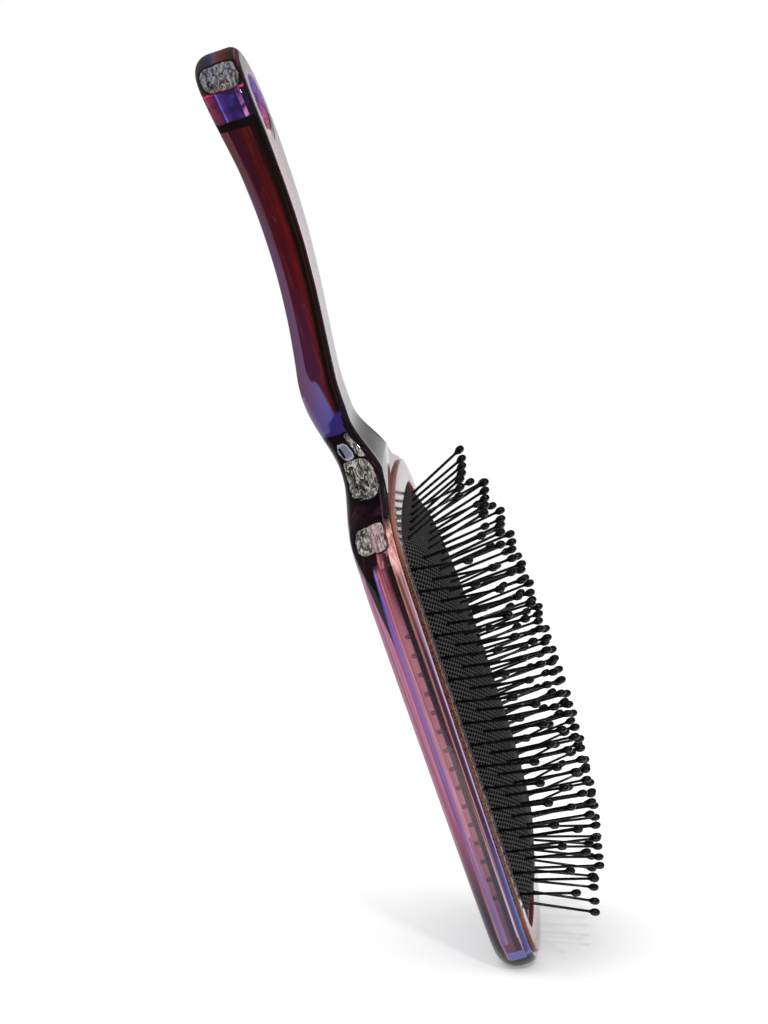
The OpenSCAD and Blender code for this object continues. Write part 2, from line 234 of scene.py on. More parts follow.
# %% Side curves of the moulding
grip_rise, handle_height, rest_cut, seat_rise = 4.8, 13.2, 0.22, 0.35
seat_from, seat_to = 0.84, 0.985
back_shares = [
    (0, 0.35), (0.035, 0.3), (0.083, 0.43), (0.124, 0.58), (0.166, 0.7), (0.21, 0.825),
    (0.25, 0.92), (0.295, 0.967), (0.34, 0.996), (0.383, 0.99), (0.427, 0.963),
    (0.47, 0.917), (0.514, 0.84), (0.56, 0.727), (0.604, 0.6), (0.648, 0.44),
    (0.693, 0.26), (0.738, 0.07), (0.783, 0), (0.827, 0.1), (0.87, 0.32),
    (0.91, 0.55), (0.947, 0.68), (0.98, 0.66), (1.013, 0.525), (1.06, 0.275),
    (1.103, 0.1), (1.15, 0.03), (1.2, 0), (1.98, 0), (2.13, 0.1)]
front_shares = [
    (0, 0.91), (0.03, 0.927), (0.06, 0.945), (0.12, 0.97), (0.185, 0.992), (0.25, 1),
    (0.31, 1), (0.36, 0.994), (0.4, 0.982), (0.447, 0.962), (0.49, 0.931),
    (0.535, 0.897), (0.58, 0.854), (0.624, 0.809), (0.67, 0.762), (0.713, 0.719),
    (0.759, 0.681), (0.805, 0.672), (2.13, 0.672)]


def clamped(value):
    return min(max(value, 0), 1)


def slope(p, i):
    a, b = max(i - 1, 0), min(i + 1, len(p) - 1)
    return (p[b][1] - p[a][1]) / (p[b][0] - p[a][0])


def smooth_curve(p, x):
    """Height at x of a smooth curve through points"""
    i = 0
    while i < len(p) - 2 and x >= p[i + 1][0]:
        i += 1
    w = p[i + 1][0] - p[i][0]
    t = clamped((x - p[i][0]) / w)
    return (p[i][1] * (1 + 2 * t) * (1 - t) ** 2 + slope(p, i) * w * t * (1 - t) ** 2
            + p[i + 1][1] * t ** 2 * (3 - 2 * t) - slope(p, i + 1) * w * t ** 2 * (1 - t))


def from_end(x):
    return (x + half_length) / handle_length


def ease(x, low, high):
    """0 before a share of the handle's length and 1 after another, and soft between"""
    t = clamped((from_end(x) - low) / (high - low))
    return t * t * (3 - 2 * t)


def back_z(x):
    return smooth_curve(back_shares, from_end(x)) * grip_rise - rest_cut


def front_z(x):
    """The front slopes along the handle, and becomes the seat of the rim on the head"""
    t = ease(x, seat_from, seat_to)
    seat = rim_height - (x - head_x) * tan(head_tilt) - rim_thickness + seat_rise
    return (1 - t) * smooth_curve(front_shares, from_end(x)) * handle_height + t * seat


print("height at the handle's end:", round(front_z(-half_length), 2), "mm")

# %% [markdown]
# ## The moulding seen from above
# From above, the handle has a round end, narrows to the neck, and flares out to the
# head, whose outline is the one above, moved out by the tray's lip. The narrow part is
# drawn through a few points that share out the widths of the end and of the neck, with
# a curve that passes smoothly through them all.

# %% Plan of the moulding
round_share = 0.14
plan_shares = [
    (round_share, 1, 0), (0.24, 0.96, 0), (0.39, 0.5, 0.51), (0.57, 0.22, 0.77),
    (0.73, 0, 1.01), (0.82, 0, 1), (0.89, 0, 1.15), (0.945, 0, 1.47), (0.985, 0, 1.91)]


def through_points(p, fine):
    """A smooth curve through points, with a number of steps from each to the next"""
    curve = []
    for i in range(len(p) - 1):
        a, b, c, d = p[max(i - 1, 0)], p[i], p[i + 1], p[min(i + 2, len(p) - 1)]
        for t in [k / fine for k in range(fine)]:
            curve.append(tuple(
                (2 * b[j] + (c[j] - a[j]) * t
                 + (2 * a[j] - 5 * b[j] + 4 * c[j] - d[j]) * t ** 2
                 + (3 * b[j] - a[j] - 3 * c[j] + d[j]) * t ** 3) / 2 for j in (0, 1)))
    return curve


def half_plan():
    """Half of the outline from above, from the handle's end to the tip"""
    end_steps, straight_steps = 22, 24
    end_length = round_share * handle_length
    end = [(end_length * (1 - cos(pi / 2 * i / end_steps)) - half_length,
            end_width / 2 * sin(pi / 2 * i / end_steps)) for i in range(end_steps)]
    corner = [(x + head_x, y) for x, y in neck_end(-tray_lip)[arch_steps:]]
    tip = [(x + head_x, y) for x, y in tip_end(-tray_lip)[::-1]]
    p = [(s * handle_length - half_length, (e * end_width + n * neck_width) / 2)
         for s, e, n in plan_shares] + [corner[0]]
    side = [(corner[-1][0] + (tip[0][0] - corner[-1][0]) * i / straight_steps,
             corner[-1][1]) for i in range(1, straight_steps)]
    return end + through_points(p, 12) + corner + side + tip


plan = half_plan()
print("points in the plan:", len(plan))

# %% [markdown]
# ## One cross-section
# The real handle is flat-sided with rounded edges, and its back is softer than its
# front. A cross-section is drawn from the middle of the back, round the back edge, up
# the flat side, and round the front edge to the middle of the front. On the head the
# back is also slightly bowed.

# %% Cross-sections
back_round, tray_growth, front_round, tray_bow = 3.9, 1.7, 2.3, 3.0
tray_from, tray_to = 0.86, 1.12


def section(i, round_steps=12, crown_steps=8, side_steps=8):
    """Half of the cross-section at a point of the plan"""
    x, y = plan[i]
    a, b = plan[max(i - 1, 0)], plan[min(i + 1, len(plan) - 1)]
    across = Vector((-(b[1] - a[1]), b[0] - a[0])).normalized()
    grown = ease(x, tray_from, tray_to)
    back_r, front_r, crown = back_round + tray_growth * grown, front_round, tray_bow * grown
    bx, by = x - across.x * back_r, max(y - across.y * back_r, 0)
    fx, fy = x - across.x * front_r, max(y - across.y * front_r, 0)
    zb, zf, wide = back_z(bx), front_z(fx), rim_width / 2
    points = [(bx, by * k / crown_steps, zb + crown * (by * k / crown_steps / wide) ** 2)
              for k in range(crown_steps)]
    edge = zb + crown * (by / wide) ** 2
    for k in range(round_steps + 1):
        t = pi / 2 * k / round_steps
        d = back_r * (1 - sin(t))
        points.append((x - across.x * d, max(y - across.y * d, 0),
                       edge + back_r * (1 - cos(t))))
    low, high = edge + back_r, zf - front_r
    points += [(x, max(y, 0), low + (high - low) * k / side_steps)
               for k in range(1, side_steps)]
    for k in range(round_steps + 1):
        t = pi / 2 * k / round_steps
        d = front_r * (1 - cos(t))
        points.append((x - across.x * d, max(y - across.y * d, 0),
                       zf - front_r * (1 - sin(t))))
    return points + [(fx, fy * (1 - k / crown_steps), zf)
                     for k in range(1, crown_steps + 1)]


sections = [section(i) for i in range(len(plan))]
print("sections:", len(sections), "points in each half:", len(sections[0]))

# %% [markdown]
# ## Wrapping the moulding
# The stack of sections needs a skin. Bridging the sections two by two would do, but a
# grid that is wrapped round them like a sheet does it at once: one side of the grid
# runs along the brush and the other runs round it. Welding closes the seam and both
# ends. This gives long, even faces, which a glossy surface needs.

# %% Wrap a grid round the sections
around = 2 * len(sections[0]) - 2
along = len(sections) - 1
deselect()
bpy.ops.mesh.primitive_grid_add(x_subdivisions=along, y_subdivisions=around, size=1)
moulding = named("clear_body")
places = []
for vertex in moulding.data.vertices:
    i = round((vertex.co.x + 0.5) * along)
    k = round((vertex.co.y + 0.5) * around) % around
    half = sections[i]
    x, y, z = half[k] if k < len(half) else half[around - k]
    places.append((x, y if k < len(half) else -y, z))
put_vertices(moulding, in_metres(places))
in_edit_mode(moulding, weld, face_outwards)
print("moulding:", len(moulding.data.polygons), "faces")

# %% [markdown]
# ## Cutting the tray
# The tray is a pocket in the head with a rounded lower edge, as a mould makes it, and
# the rim frame lies on the tray's edge. Extruding the pocket's faces inward would need
# edges just where the pocket's outline runs. A Boolean modifier takes a tool's volume
# away wherever it lies, so a tool shaped like the pocket is cut out, and a flat block
# then planes the edge down to the rim's seat.

# %% Tray


def cut(piece, tool):
    """Takes the tool's volume out of a piece, and removes the tool"""
    pick(piece)
    modifier = piece.modifiers.new("cut", "BOOLEAN")
    modifier.operation = "DIFFERENCE"
    modifier.solver = "EXACT"
    modifier.object = tool
    bpy.ops.object.modifier_apply(modifier="cut")
    bpy.data.objects.remove(tool)


def pocket_tool(inset, low, high, edge):
    """A prism on the head's outline, with its lower edge rounded off"""
    deselect()
    bpy.ops.mesh.primitive_cylinder_add(vertices=outline_count, end_fill_type="NGON")
    tool = named("pocket")
    outline = head_outline(inset)
    put_vertices(tool, placed_on_head([(*outline[i // 2], low if i % 2 == 0 else high)
                                       for i in range(2 * outline_count)]))
    in_edit_mode(tool, lambda: bpy.ops.mesh.select_all(action="DESELECT"))
    for face in tool.data.polygons:
        face.select = len(face.vertices) > 4 and face.center.z * 1000 < rim_height / 2
    bpy.ops.object.mode_set(mode="EDIT")
    bpy.ops.mesh.region_to_loop()
    bpy.ops.mesh.bevel(offset=edge * 0.001, segments=3)
    in_edit_mode(tool, face_outwards)
    return tool


cut(moulding, pocket_tool(tray_wall - tray_lip, -tray_depth, 10.0, edge=0.5))
planer_length, planer_width, planer_top = 138.0, 98.0, 9.0
deselect()
bpy.ops.mesh.primitive_cube_add(size=1)
planer = named("planer")
put_vertices(planer, placed_on_head([
    (planer_length * v.co.x, planer_width * v.co.y,
     -rim_thickness if v.co.z < 0 else planer_top) for v in planer.data.vertices]))
cut(moulding, planer)
print("after the tray:", len(moulding.data.polygons), "faces")

# %% [markdown]
# ## Drilling the hang hole
# The hole near the handle's end has a small rounded lip on both faces. A plain
# cylinder as a tool would leave sharp edges, so the tool is spun from a profile that
# widens over the lips and is wide outside the handle.

# %% Hang hole


def spun(name, x, profile, steps):
    """A profile of (radius, height) points spun round an upright line at x"""
    mesh = bpy.data.meshes.new(name)
    mesh.from_pydata(in_metres([(x + r, 0, z) for r, z in profile]),
                     [(i, i + 1) for i in range(len(profile) - 1)], [])
    piece = bpy.data.objects.new(name, mesh)
    bpy.context.scene.collection.objects.link(piece)
    in_edit_mode(piece, lambda: bpy.ops.mesh.spin(
        steps=steps, angle=2 * pi, center=(x * 0.001, 0, 0), axis=(0, 0, 1)),
        select_all, weld, face_outwards)
    return piece


hole_x, hole_r, lip, lip_r = 13.2 - half_length, 6.2, 0.8, 1.6
low, high = back_z(hole_x), front_z(hole_x)
wide, beyond, quarter = hole_r + 3.4, 6.0, [pi / 2 * k / 6 for k in range(7)]
profile = [(0, low - beyond), (wide, low - beyond), (wide, low - 0.25)]
profile += [(hole_r + lip_r * (1 - sin(t)), low - lip * 0.25 + lip * 1.3 * (1 - cos(t)))
            for t in quarter[1:]]
profile += [(hole_r + lip_r * (1 - cos(t)), high + lip * 0.25 - lip * 1.3 * (1 - sin(t)))
            for t in quarter[:-1]]
profile += [(wide, high + 0.25), (wide, high + beyond), (0, high + beyond)]
cut(moulding, spun("drill", hole_x, profile, steps=72))
print("the hole is", round(high - low, 2), "mm deep")

# %% [markdown]
# ## Finishing the moulding
# The brush rests on two places of its back, and there the smooth curves dip just under
# zero. Both are planed flat with one bisect, as a moulding gets flats where it lies.
# Then the shading: smooth all over would blur the edges of the tray, and flat would show
# every face, so it is smooth but for the edges that are really sharp.

# %% Rest and shading of the moulding


def smooth(piece, sharp_from):
    """Smooth shading, but for edges sharper than an angle in degrees"""
    pick(piece)
    bpy.ops.object.shade_smooth_by_angle(angle=radians(sharp_from))


in_edit_mode(moulding, lambda: bpy.ops.mesh.bisect(
    plane_co=(0, 0, 0), plane_no=(0, 0, 1), use_fill=True, clear_inner=True),
    select_all, weld)
smooth(moulding, 32)
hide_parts("body")
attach(moulding, "root")
print("clear body:", len(moulding.data.polygons), "faces")

# %% [markdown]
# ## Where a point lies on the moulding
# The colours of the clear plastic follow its own curved shape, and plain coordinates
# can't tell how near a point is to the back or to the edge. So each vertex keeps two
# shares, which the material reads as attributes: its rise from the back to the front,
# and its way from the middle line across to the side.

# %% Shares of rise and across


def keep_on_vertices(piece, name, values):
    """Keeps one number for each vertex, for a material to read"""
    kept = piece.data.attributes.new(name, "FLOAT", "POINT")
    kept.data.foreach_set("value", values)
    return [item.value for item in kept.data]


def across_share(x, y):
    half_width = next((b for a, b in plan if a >= x - 0.001), rim_width / 2 + tray_lip)
    return y / max(half_width, 1)


body_points = [vertex.co * 1000 for vertex in moulding.data.vertices]
rise_values = keep_on_vertices(moulding, "rise", [
    (z - back_z(x)) / (front_z(x) - back_z(x)) for x, y, z in body_points])
keep_on_vertices(moulding, "across", [
    across_share(x, y) for x, y, z in body_points])
print("two shares on", len(body_points), "vertices")

# %% [markdown]
# ## Which faces are the side
# The side of the moulding has other colours than its front, its back, the inside of
# the tray and the wall of the hole. A third share tells them apart: 1 where a vertex
# faces sideways on the outside. It comes from the vertex normals, and near the flare the
# side's colours end sooner toward the front.

# %% Share of facing sideways
pocket_inset = tray_wall - tray_lip
pocket_ends = neck_end(pocket_inset), tip_end(pocket_inset)


def in_pocket(x, y, z):
    """Is a point of the head's frame on the wall or floor of the pocket?"""
    slack = 0.1
    if z < -tray_depth - slack or abs(y) > rim_width / 2 - pocket_inset + slack:
        return False
    limits = []
    for end in pocket_ends:
        a, b = max((p for p in zip(end, end[1:]) if p[0][1] <= abs(y)),
                   key=lambda p: p[0][1])
        t = min((abs(y) - a[1]) / max(b[1] - a[1], 0.001), 1)
        limits.append(a[0] + (b[0] - a[0]) * t)
    return limits[0] - 0.15 < x < limits[1] + 0.15


def front_limit(x):
    """How far a face may turn to the front and still have the side's tint"""
    return 0.97 if x > -4 else 0.34 + 0.5 * clamped((-22 - x) / 8)


def sideways_share(point, normal):
    from_hole = Vector((point.x - hole_x, point.y)).length
    if in_pocket(*(head_frame.inverted() @ point)) or from_hole < hole_r + lip_r + 0.1:
        return 0.0
    flat = Vector((normal.x, normal.y)).length
    return (clamped((flat - 0.04) / 0.2)
            * clamped((front_limit(point.x) - normal.z) / 0.2))


sideways_values = keep_on_vertices(moulding, "sideways", [
    sideways_share(point, vertex.normal)
    for point, vertex in zip(body_points, moulding.data.vertices)])
print("vertices of the side:", sum(value > 0.5 for value in sideways_values))

# %% [markdown]
# ## The rim frame
# A flat, clear frame lies on the tray's edge and holds the rubber down with a skirt
# under it. It could be an extruded outline with a bevel, but its section has a lip, a
# skirt and edges of different roundness. A torus is already a closed ring, so its
# vertices are moved onto the frame's section, one turn of the section for each point of
# the outline. Its vertices keep a share too, for the coloured lines on its edges: 1 on
# the outer edge and 2 on the inner one.

# %% Rim frame


def outline_ring(name, profile):
    """A ring with a closed section of (inset, height) points, all round the head"""
    deselect()
    bpy.ops.mesh.primitive_torus_add(major_segments=outline_count,
                                     minor_segments=len(profile))
    ring = named(name)
    outlines = [head_outline(inset) for inset, z in profile]
    n = len(profile)
    put_vertices(ring, placed_on_head([(*outlines[v % n][v // n], profile[v % n][1])
                                       for v in range(n * outline_count)]))
    in_edit_mode(ring, face_outwards)
    smooth(ring, 32)
    return ring


under, skirt = -rim_thickness, -skirt_depth
rim_section = [
    (0, under + 0.02), (0, -0.3), (0.05, -0.14), (0.16, -0.04), (0.34, 0), (1.6, 0),
    (3.2, 0), (4.6, 0), (5.4, 0), (5.62, -0.05), (5.75, -0.17), (rim_border, -0.34),
    (rim_border, under + 0.1), (5.7, under), (4.2, under), (2.6, under),
    (2.6, skirt + 0.15), (2.45, skirt), (1.55, skirt), (1.4, skirt + 0.15), (1.4, under),
    (0.7, under)]
edge_at = {0: 1, 1: 1, 2: 0.9, 3: 0.5, 9: 1.4, 10: 2, 11: 2, 12: 2, 21: 1}
rim = outline_ring("rim_flange", rim_section)
edge_values = keep_on_vertices(rim, "edge", [
    edge_at.get(vertex.index % len(rim_section), 0) for vertex in rim.data.vertices])
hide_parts("rim_frame")
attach(rim, "root")
print("rim frame:", len(rim.data.polygons), "faces")

# %% [markdown]
# ## The dome of the rubber
# The real cushion bulges over a hollow, which makes it springy. Across the head it is
# round, and along the head it is flatter and falls steeply at the ends. It could be
# sculpted, but the pins have to stand exactly on it, so its height is a function of the
# place, which the pins can ask for too.

# %% Shape of the rubber dome
row_count, col_count = 18, 9
field_x, field_y, field_shift = 98.9, 57.7, -0.85
row_pitch, col_pitch, facing = field_x / row_count, field_y / col_count, 0.5


def long_fall(u):
    return 0.45 * u ** 2 + 0.55 * u ** 12


def fall(x, y):
    u, v = abs(x - field_shift) / (field_x / 2), abs(y) / (field_y / 2)
    return (long_fall(u) ** 4 + (v ** 2.1) ** 4) ** 0.25


def dome(x, y):
    return clamp_top + crown_height * max(1 - fall(x, y), 0)


def rubber_top(x, y):
    """The dome with the facing that holds the pins, which thins out at its foot"""
    return dome(x, y) + facing * clamped(9 * (1 - fall(x, y)))


def foot_share(x, y):
    """How far along the way to an outline point the dome's foot is"""
    low, high = 0.0, 1.0
    for _ in range(30):
        middle = (low + high) / 2
        low, high = (middle, high) if fall(x * middle, y * middle) < 1 else (low, middle)
    return low


print("top of the dome:", round(rubber_top(field_shift, 0), 2), "mm over the rim's face")

# %% [markdown]
# ## The rubber sheet
# The cushion is one sheet of rubber, clamped flat at its edge and domed in the middle.
# A cloth simulation could inflate it, but would not give a known height. A sphere is
# already closed, so its upper half becomes the upper face and its lower half the lower
# one. The sphere's rings are drawn close together where the dome starts, so that its
# foot is a clean line.

# %% Cushion
rubber_inset, crowding = 1.45, 1.35
edge = head_outline(rubber_inset)
foot = [foot_share(x, y) for x, y in edge]
inner_rings, outer_rings = 46, 5
half_rings = inner_rings + outer_rings


def sheet_point(i, j):
    """The place of ring j, counted from the middle, on spoke i"""
    if j <= inner_rings:
        t = j / inner_rings
        share = foot[i] * (1 - (1 - t) ** crowding)
    else:
        t = (j - inner_rings) / outer_rings
        share = foot[i] + (1 - foot[i]) * t
    return edge[i][0] * share, edge[i][1] * share


deselect()
rings = 2 * half_rings + 1
bpy.ops.mesh.primitive_uv_sphere_add(segments=outline_count, ring_count=rings)
cushion = named("rubber_cushion")
places = []
for vertex in cushion.data.vertices:
    flat = Vector((vertex.co.x, vertex.co.y))
    i = round(atan2(flat.y, flat.x) / (2 * pi) * outline_count) % outline_count
    j = round(asin(min(max(vertex.co.z, -1), 1)) / pi * rings + rings / 2)
    depth = min(j, rings - j)
    if flat.length < 0.0001:
        i, depth = 0, 0
    x, y = sheet_point(i, depth)
    upper = vertex.co.z > 0
    places.append((x, y, rubber_top(x, y) if upper else dome(x, y) - rubber_thickness))
put_vertices(cushion, placed_on_head(places))
in_edit_mode(cushion, weld, face_outwards)
print("cushion:", len(cushion.data.polygons), "faces")

# %% [markdown]
# ## The lugs of the rubber
# The rubber has small lugs under its edge, which sit in the notches of the seat ring
# and keep it from slipping. From the side they show as a row of dark teeth through the
# clear wall. One lug is a cube with a narrower foot, and it is copied along both sides.

# %% Lugs of the rubber


def copy_of(piece):
    """A copy with a mesh of its own"""
    copy = piece.copy()
    copy.data = piece.data.copy()
    bpy.context.scene.collection.objects.link(copy)
    return copy


def joined(piece, others):
    pick(piece)
    for other in others:
        other.select_set(True)
    bpy.ops.object.join()


clamp_bottom = clamp_top - rubber_thickness
lug_count, lug_pitch, lug_middle, lug_y = 15, 4.7, 3.0, 32.4
lug_top, lug_foot, lug_length, lug_depth, lug_overlap = 1.2, 0.8, 2.3, 1.0, 0.05
deselect()
bpy.ops.mesh.primitive_cube_add(size=1)
lug = named("lug")
put_vertices(lug, [
    (v.co.x * (lug_top if v.co.z > 0 else lug_foot), v.co.y * lug_length,
     clamp_bottom + (lug_overlap if v.co.z > 0 else -lug_depth))
    for v in lug.data.vertices])
lugs = []
for side in (-1, 1):
    for i in range(lug_count):
        lugs.append(copy_of(lug))
        shift = Vector((lug_middle + (i - lug_count // 2) * lug_pitch, side * lug_y, 0))
        put_vertices(lugs[-1], placed_on_head([v.co + shift for v in lug.data.vertices]))
bpy.data.objects.remove(lug)
joined(cushion, lugs)
in_edit_mode(cushion, face_outwards)
smooth(cushion, 40)
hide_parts("cushion")
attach(cushion, "root")
print("lugs:", len(lugs))

# %% [markdown]
# ## One pin
# A pin is a thin shaft with a small foot and an egg-shaped ball at its tip. A cylinder
# joined to a sphere would have a crease where they meet. A profile that is drawn once
# and spun has none, and eight steps are enough, since the pin is repeated 158 times.

# %% One pin
pin_profile = [
    (0.0, -0.45), (0.46, -0.45), (0.44, 0.0), (0.38, 0.5), (0.35, 1.4), (0.34, 7.5),
    (0.33, 13.6), (0.44, 14.1), (0.76, 14.5), (0.93, 15.05), (0.93, 15.6),
    (0.74, 16.12), (0.4, 16.42), (0.0, 16.52)]
pin = spun("pin", 0, pin_profile, steps=8)
pick(pin)
bpy.ops.object.shade_smooth()
print("one pin:", len(pin.data.polygons), "faces")

# %% [markdown]
# ## Rows of pins
# On the real brush the pins stand square to the domed rubber, so they fan out, which is
# what one sees first from the side. Each copy is turned to the slope of the dome at its
# foot. Real pins never stand quite alike, so each one leans a very little in its own
# way, from a seeded list. A row becomes one piece, as it is one solid in the CAD model.

# %% Rows of pins


def pin_way(x, y):
    """Square to the dome, but never leaning more than most_lean along the head"""
    step, most = 0.01, tan(most_lean)
    slope_x = (dome(x - step, y) - dome(x + step, y)) / (2 * step)
    slope_y = (dome(x, y - step) - dome(x, y + step)) / (2 * step)
    return Vector((min(max(slope_x, -most), most), slope_y, 1)).normalized()


chance, lean, most_lean = random.Random(7), 0.016, radians(24)
pin_rows = []
for row in range(row_count):
    copies = []
    for col in range(col_count):
        if row in (0, row_count - 1) and col in (0, col_count - 1):
            continue
        x = field_shift - field_x / 2 + (row + 0.5) * row_pitch
        y = -field_y / 2 + (col + 0.5) * col_pitch
        way = pin_way(x, y) + Vector((chance.gauss(0, lean), chance.gauss(0, lean), 0))
        place = (head_frame @ Matrix.Translation((x, y, dome(x, y) + facing))
                 @ way.to_track_quat("Z", "Y").to_matrix().to_4x4())
        copies.append(copy_of(pin))
        put_vertices(copies[-1], in_metres([place @ (v.co * 1000)
                                            for v in pin.data.vertices]))
    joined(copies[0], copies[1:])
    pins = named(f"pins_{row + 1:02d}")
    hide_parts(f"pin_row_{row + 1:02d}")
    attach(pins, "root")
    pin_rows.append(pins)
bpy.data.objects.remove(pin)
print("rows:", len(pin_rows))

# %% [markdown]
# ## Building with nodes
# The studio and all the materials are made of nodes. Adding and linking them one by
# one makes long scripts, so one helper adds a node, fills its inputs and gives back
# one output. That output is kept as a Value, which can be added and multiplied as in a
# sum, and each sign adds a Math node. Colours are written as they look on a screen,
# and are turned into the linear values that the shader works with.

# %% One node, and sums with nodes


def linear(code):
    """A screen colour such as "5a1418" in linear values"""
    parts = [int(code[i:i + 2], 16) / 255 for i in (0, 2, 4)]
    return [p / 12.92 if p <= 0.04045 else ((p + 0.055) / 1.055) ** 2.4 for p in parts]


class Value:
    """What a node gives at each point of a surface"""

    def __init__(self, socket):
        self.socket, self.tree = socket, socket.id_data

    def __add__(self, other):
        return maths("ADD", self, other)

    def __sub__(self, other):
        return maths("SUBTRACT", self, other)

    def __rsub__(self, other):
        return maths("SUBTRACT", other, self)

    def __mul__(self, other):
        return maths("MULTIPLY", self, other)

    def __truediv__(self, other):
        return maths("DIVIDE", self, other)

    def __pow__(self, other):
        return maths("POWER", self, other)

    def __abs__(self):
        return maths("ABSOLUTE", self)


def join(value, socket):
    """Links a Value to a socket, or writes a colour or a plain number on it"""
    if isinstance(value, Value):
        value.tree.links.new(value.socket, socket)
    else:
        socket.default_value = (*linear(value), 1) if isinstance(value, str) else value


def add_node(tree, kind, inputs, output=0, **settings):
    """Adds a node with its settings and inputs, and gives one of its outputs"""
    node = tree.nodes.new("ShaderNode" + kind)
    for name, setting in settings.items():
        setattr(node, name, setting)
    for name, value in inputs.items():
        join(value, node.inputs[name])
    return Value(node.outputs[output])


def maths(operation, *values):
    tree = next(v.tree for v in values if isinstance(v, Value))
    return add_node(tree, "Math", dict(enumerate(values)), operation=operation)


print("a screen grey of 808080 is", round(linear("808080")[0], 3), "in linear values")

# %% [markdown]
# ## Masks, colours and patterns
# What is seen on the brush is told in the same few words: a colour after a place,
# before it or between two places, a ramp of colours across a shape, and noise that is
# stretched along the handle. Each of these words is a helper.

# %% Masks, colours and patterns


def after(value, place, soft):
    """0 before a place and 1 after it, with a soft edge"""
    return add_node(value.tree, "MapRange", {
        "Value": value, "From Min": place - soft, "From Max": place + soft},
        "Result", interpolation_type="SMOOTHSTEP")


def before(value, place, soft):
    return 1.0 - after(value, place, soft)


def between(value, low, high, soft):
    return after(value, low, soft) - after(value, high, soft)


def mix(share, a, b):
    """From colour a to colour b by a share. The Mix node has its colours at 6 and 7."""
    return add_node(share.tree, "Mix", {0: share, 6: a, 7: b}, 2, data_type="RGBA")


def ramp(value, stops):
    """Colours at places from 0 to 1, written as (place, colour)"""
    colour = add_node(value.tree, "ValToRGB", {"Fac": value}, "Color")
    points = colour.socket.node.color_ramp.elements
    points.remove(points[-1])
    points[0].position = stops[0][0]
    points[0].color = (*linear(stops[0][1]), 1)
    for place, code in stops[1:]:
        points.new(place).color = (*linear(code), 1)
    return colour


def stretched(where, scale, turn=(0, 0, 0)):
    return add_node(where.tree, "Mapping",
                    {"Vector": where, "Scale": scale, "Rotation": turn})


def noise(where, scale, detail=2.0, distortion=0.0):
    """Noise with so many lumps in a metre, or so many along each axis"""
    if isinstance(scale, tuple):
        where, scale = stretched(where, scale), 1.0
    return add_node(where.tree, "TexNoise", {
        "Vector": where, "Scale": scale, "Detail": detail, "Distortion": distortion})


def surface_point(tree):
    """A point of the surface on the brush's own axes, in metres"""
    return add_node(tree, "TexCoord", {}, "Object")


def along_axis(where, axis):
    """A point's place on one axis, in millimetres"""
    return add_node(where.tree, "SeparateXYZ", {0: where}, axis) * 1000.0


def vertex_share(tree, name):
    """A share that was kept on the vertices"""
    return add_node(tree, "Attribute", {}, "Fac", attribute_name=name)


print("helpers are ready")

# %% [markdown]
# ## The studio's light
# The photograph has a white backdrop all round and soft light. The world does both. It
# is white where the camera or the clear plastic looks at it, and dimmer where it only
# lights the brush, so that colours render about as they are written. A gloss would be
# milky if it mirrored white from everywhere, so mirrors see white only in the part of
# the room behind the brush.

# %% World
bpy.context.scene.view_settings.view_transform = "Standard"
world = bpy.data.worlds.new("studio")
bpy.context.scene.world = world
world.use_nodes = True
tree = world.node_tree
lighting, dim_mirror = 0.75, 0.14
bright_way = tuple(Vector((0.5, 0.85, -0.1)).normalized())


def ray_kind(tree, kind):
    """1 for one kind of ray, such as a Camera ray"""
    return add_node(tree, "LightPath", {}, f"Is {kind} Ray")


def seen_directly(tree):
    return maths("MAXIMUM", ray_kind(tree, "Camera"), ray_kind(tree, "Transmission"))


direction = add_node(tree, "TexCoord", {}, "Generated")
facing_it = add_node(tree, "VectorMath", {0: direction, 1: bright_way}, "Value",
                     operation="DOT_PRODUCT")
bright_part = after(facing_it, 0.8525, 0.0625) * (1 - dim_mirror) + dim_mirror
seen, glossy = seen_directly(tree), ray_kind(tree, "Glossy")
only_light = 1.0 - maths("MAXIMUM", seen, glossy)
backdrop = tree.nodes["Background"]
backdrop.inputs["Color"].default_value = (1, 1, 1, 1)
join(maths("MAXIMUM", seen, glossy * bright_part) + only_light * lighting,
     backdrop.inputs["Strength"])
print("world lighting", lighting)

# %% [markdown]
# ## The floor
# In the photograph the brush stands on its tip on a pale floor, and only its soft
# shadow shows where the floor is. The brush lies on its back in its own frame, so the
# floor is tilted under the tip instead, and is turned to face the picture's up side. A
# disc is enough. It glows a little to the camera, so that it meets the white backdrop
# without an edge, and it is clear from below, so that it hides nothing in other views.

# %% Floor
floor_radius, floor_white, floor_glow = 0.34, (0.86, 0.86, 0.87, 1), 0.24
floor_up = Vector((-0.94, 0.14, 0.32)).normalized()
under_tip, aside = Vector((0.1114, 0, 0.004)), Vector((0.03, 0.19, 0.0))
middle = under_tip + aside - floor_up * floor_up.dot(aside)
deselect()
bpy.ops.mesh.primitive_circle_add(vertices=64, radius=floor_radius, fill_type="NGON")
floor = named("studio_floor")
floor.data.transform(Matrix.Translation(middle)
                     @ floor_up.to_track_quat("Z", "Y").to_matrix().to_4x4())
floor_paint = bpy.data.materials.new("floor_white")
floor_paint.use_nodes = True
tree = floor_paint.node_tree
tree.nodes.clear()
white = add_node(tree, "BsdfDiffuse", {"Color": floor_white})
seen = maths("MAXIMUM", seen_directly(tree), ray_kind(tree, "Glossy"))
glow = add_node(tree, "Emission", {"Strength": seen * floor_glow})
paint = add_node(tree, "AddShader", {0: white, 1: glow})
from_below = add_node(tree, "NewGeometry", {}, "Backfacing")
nothing = add_node(tree, "BsdfTransparent", {})
join(add_node(tree, "MixShader", {0: from_below, 1: paint, 2: nothing}),
     tree.nodes.new("ShaderNodeOutputMaterial").inputs["Surface"])
floor.data.materials.append(floor_paint)
print("floor's way up", floor_up)

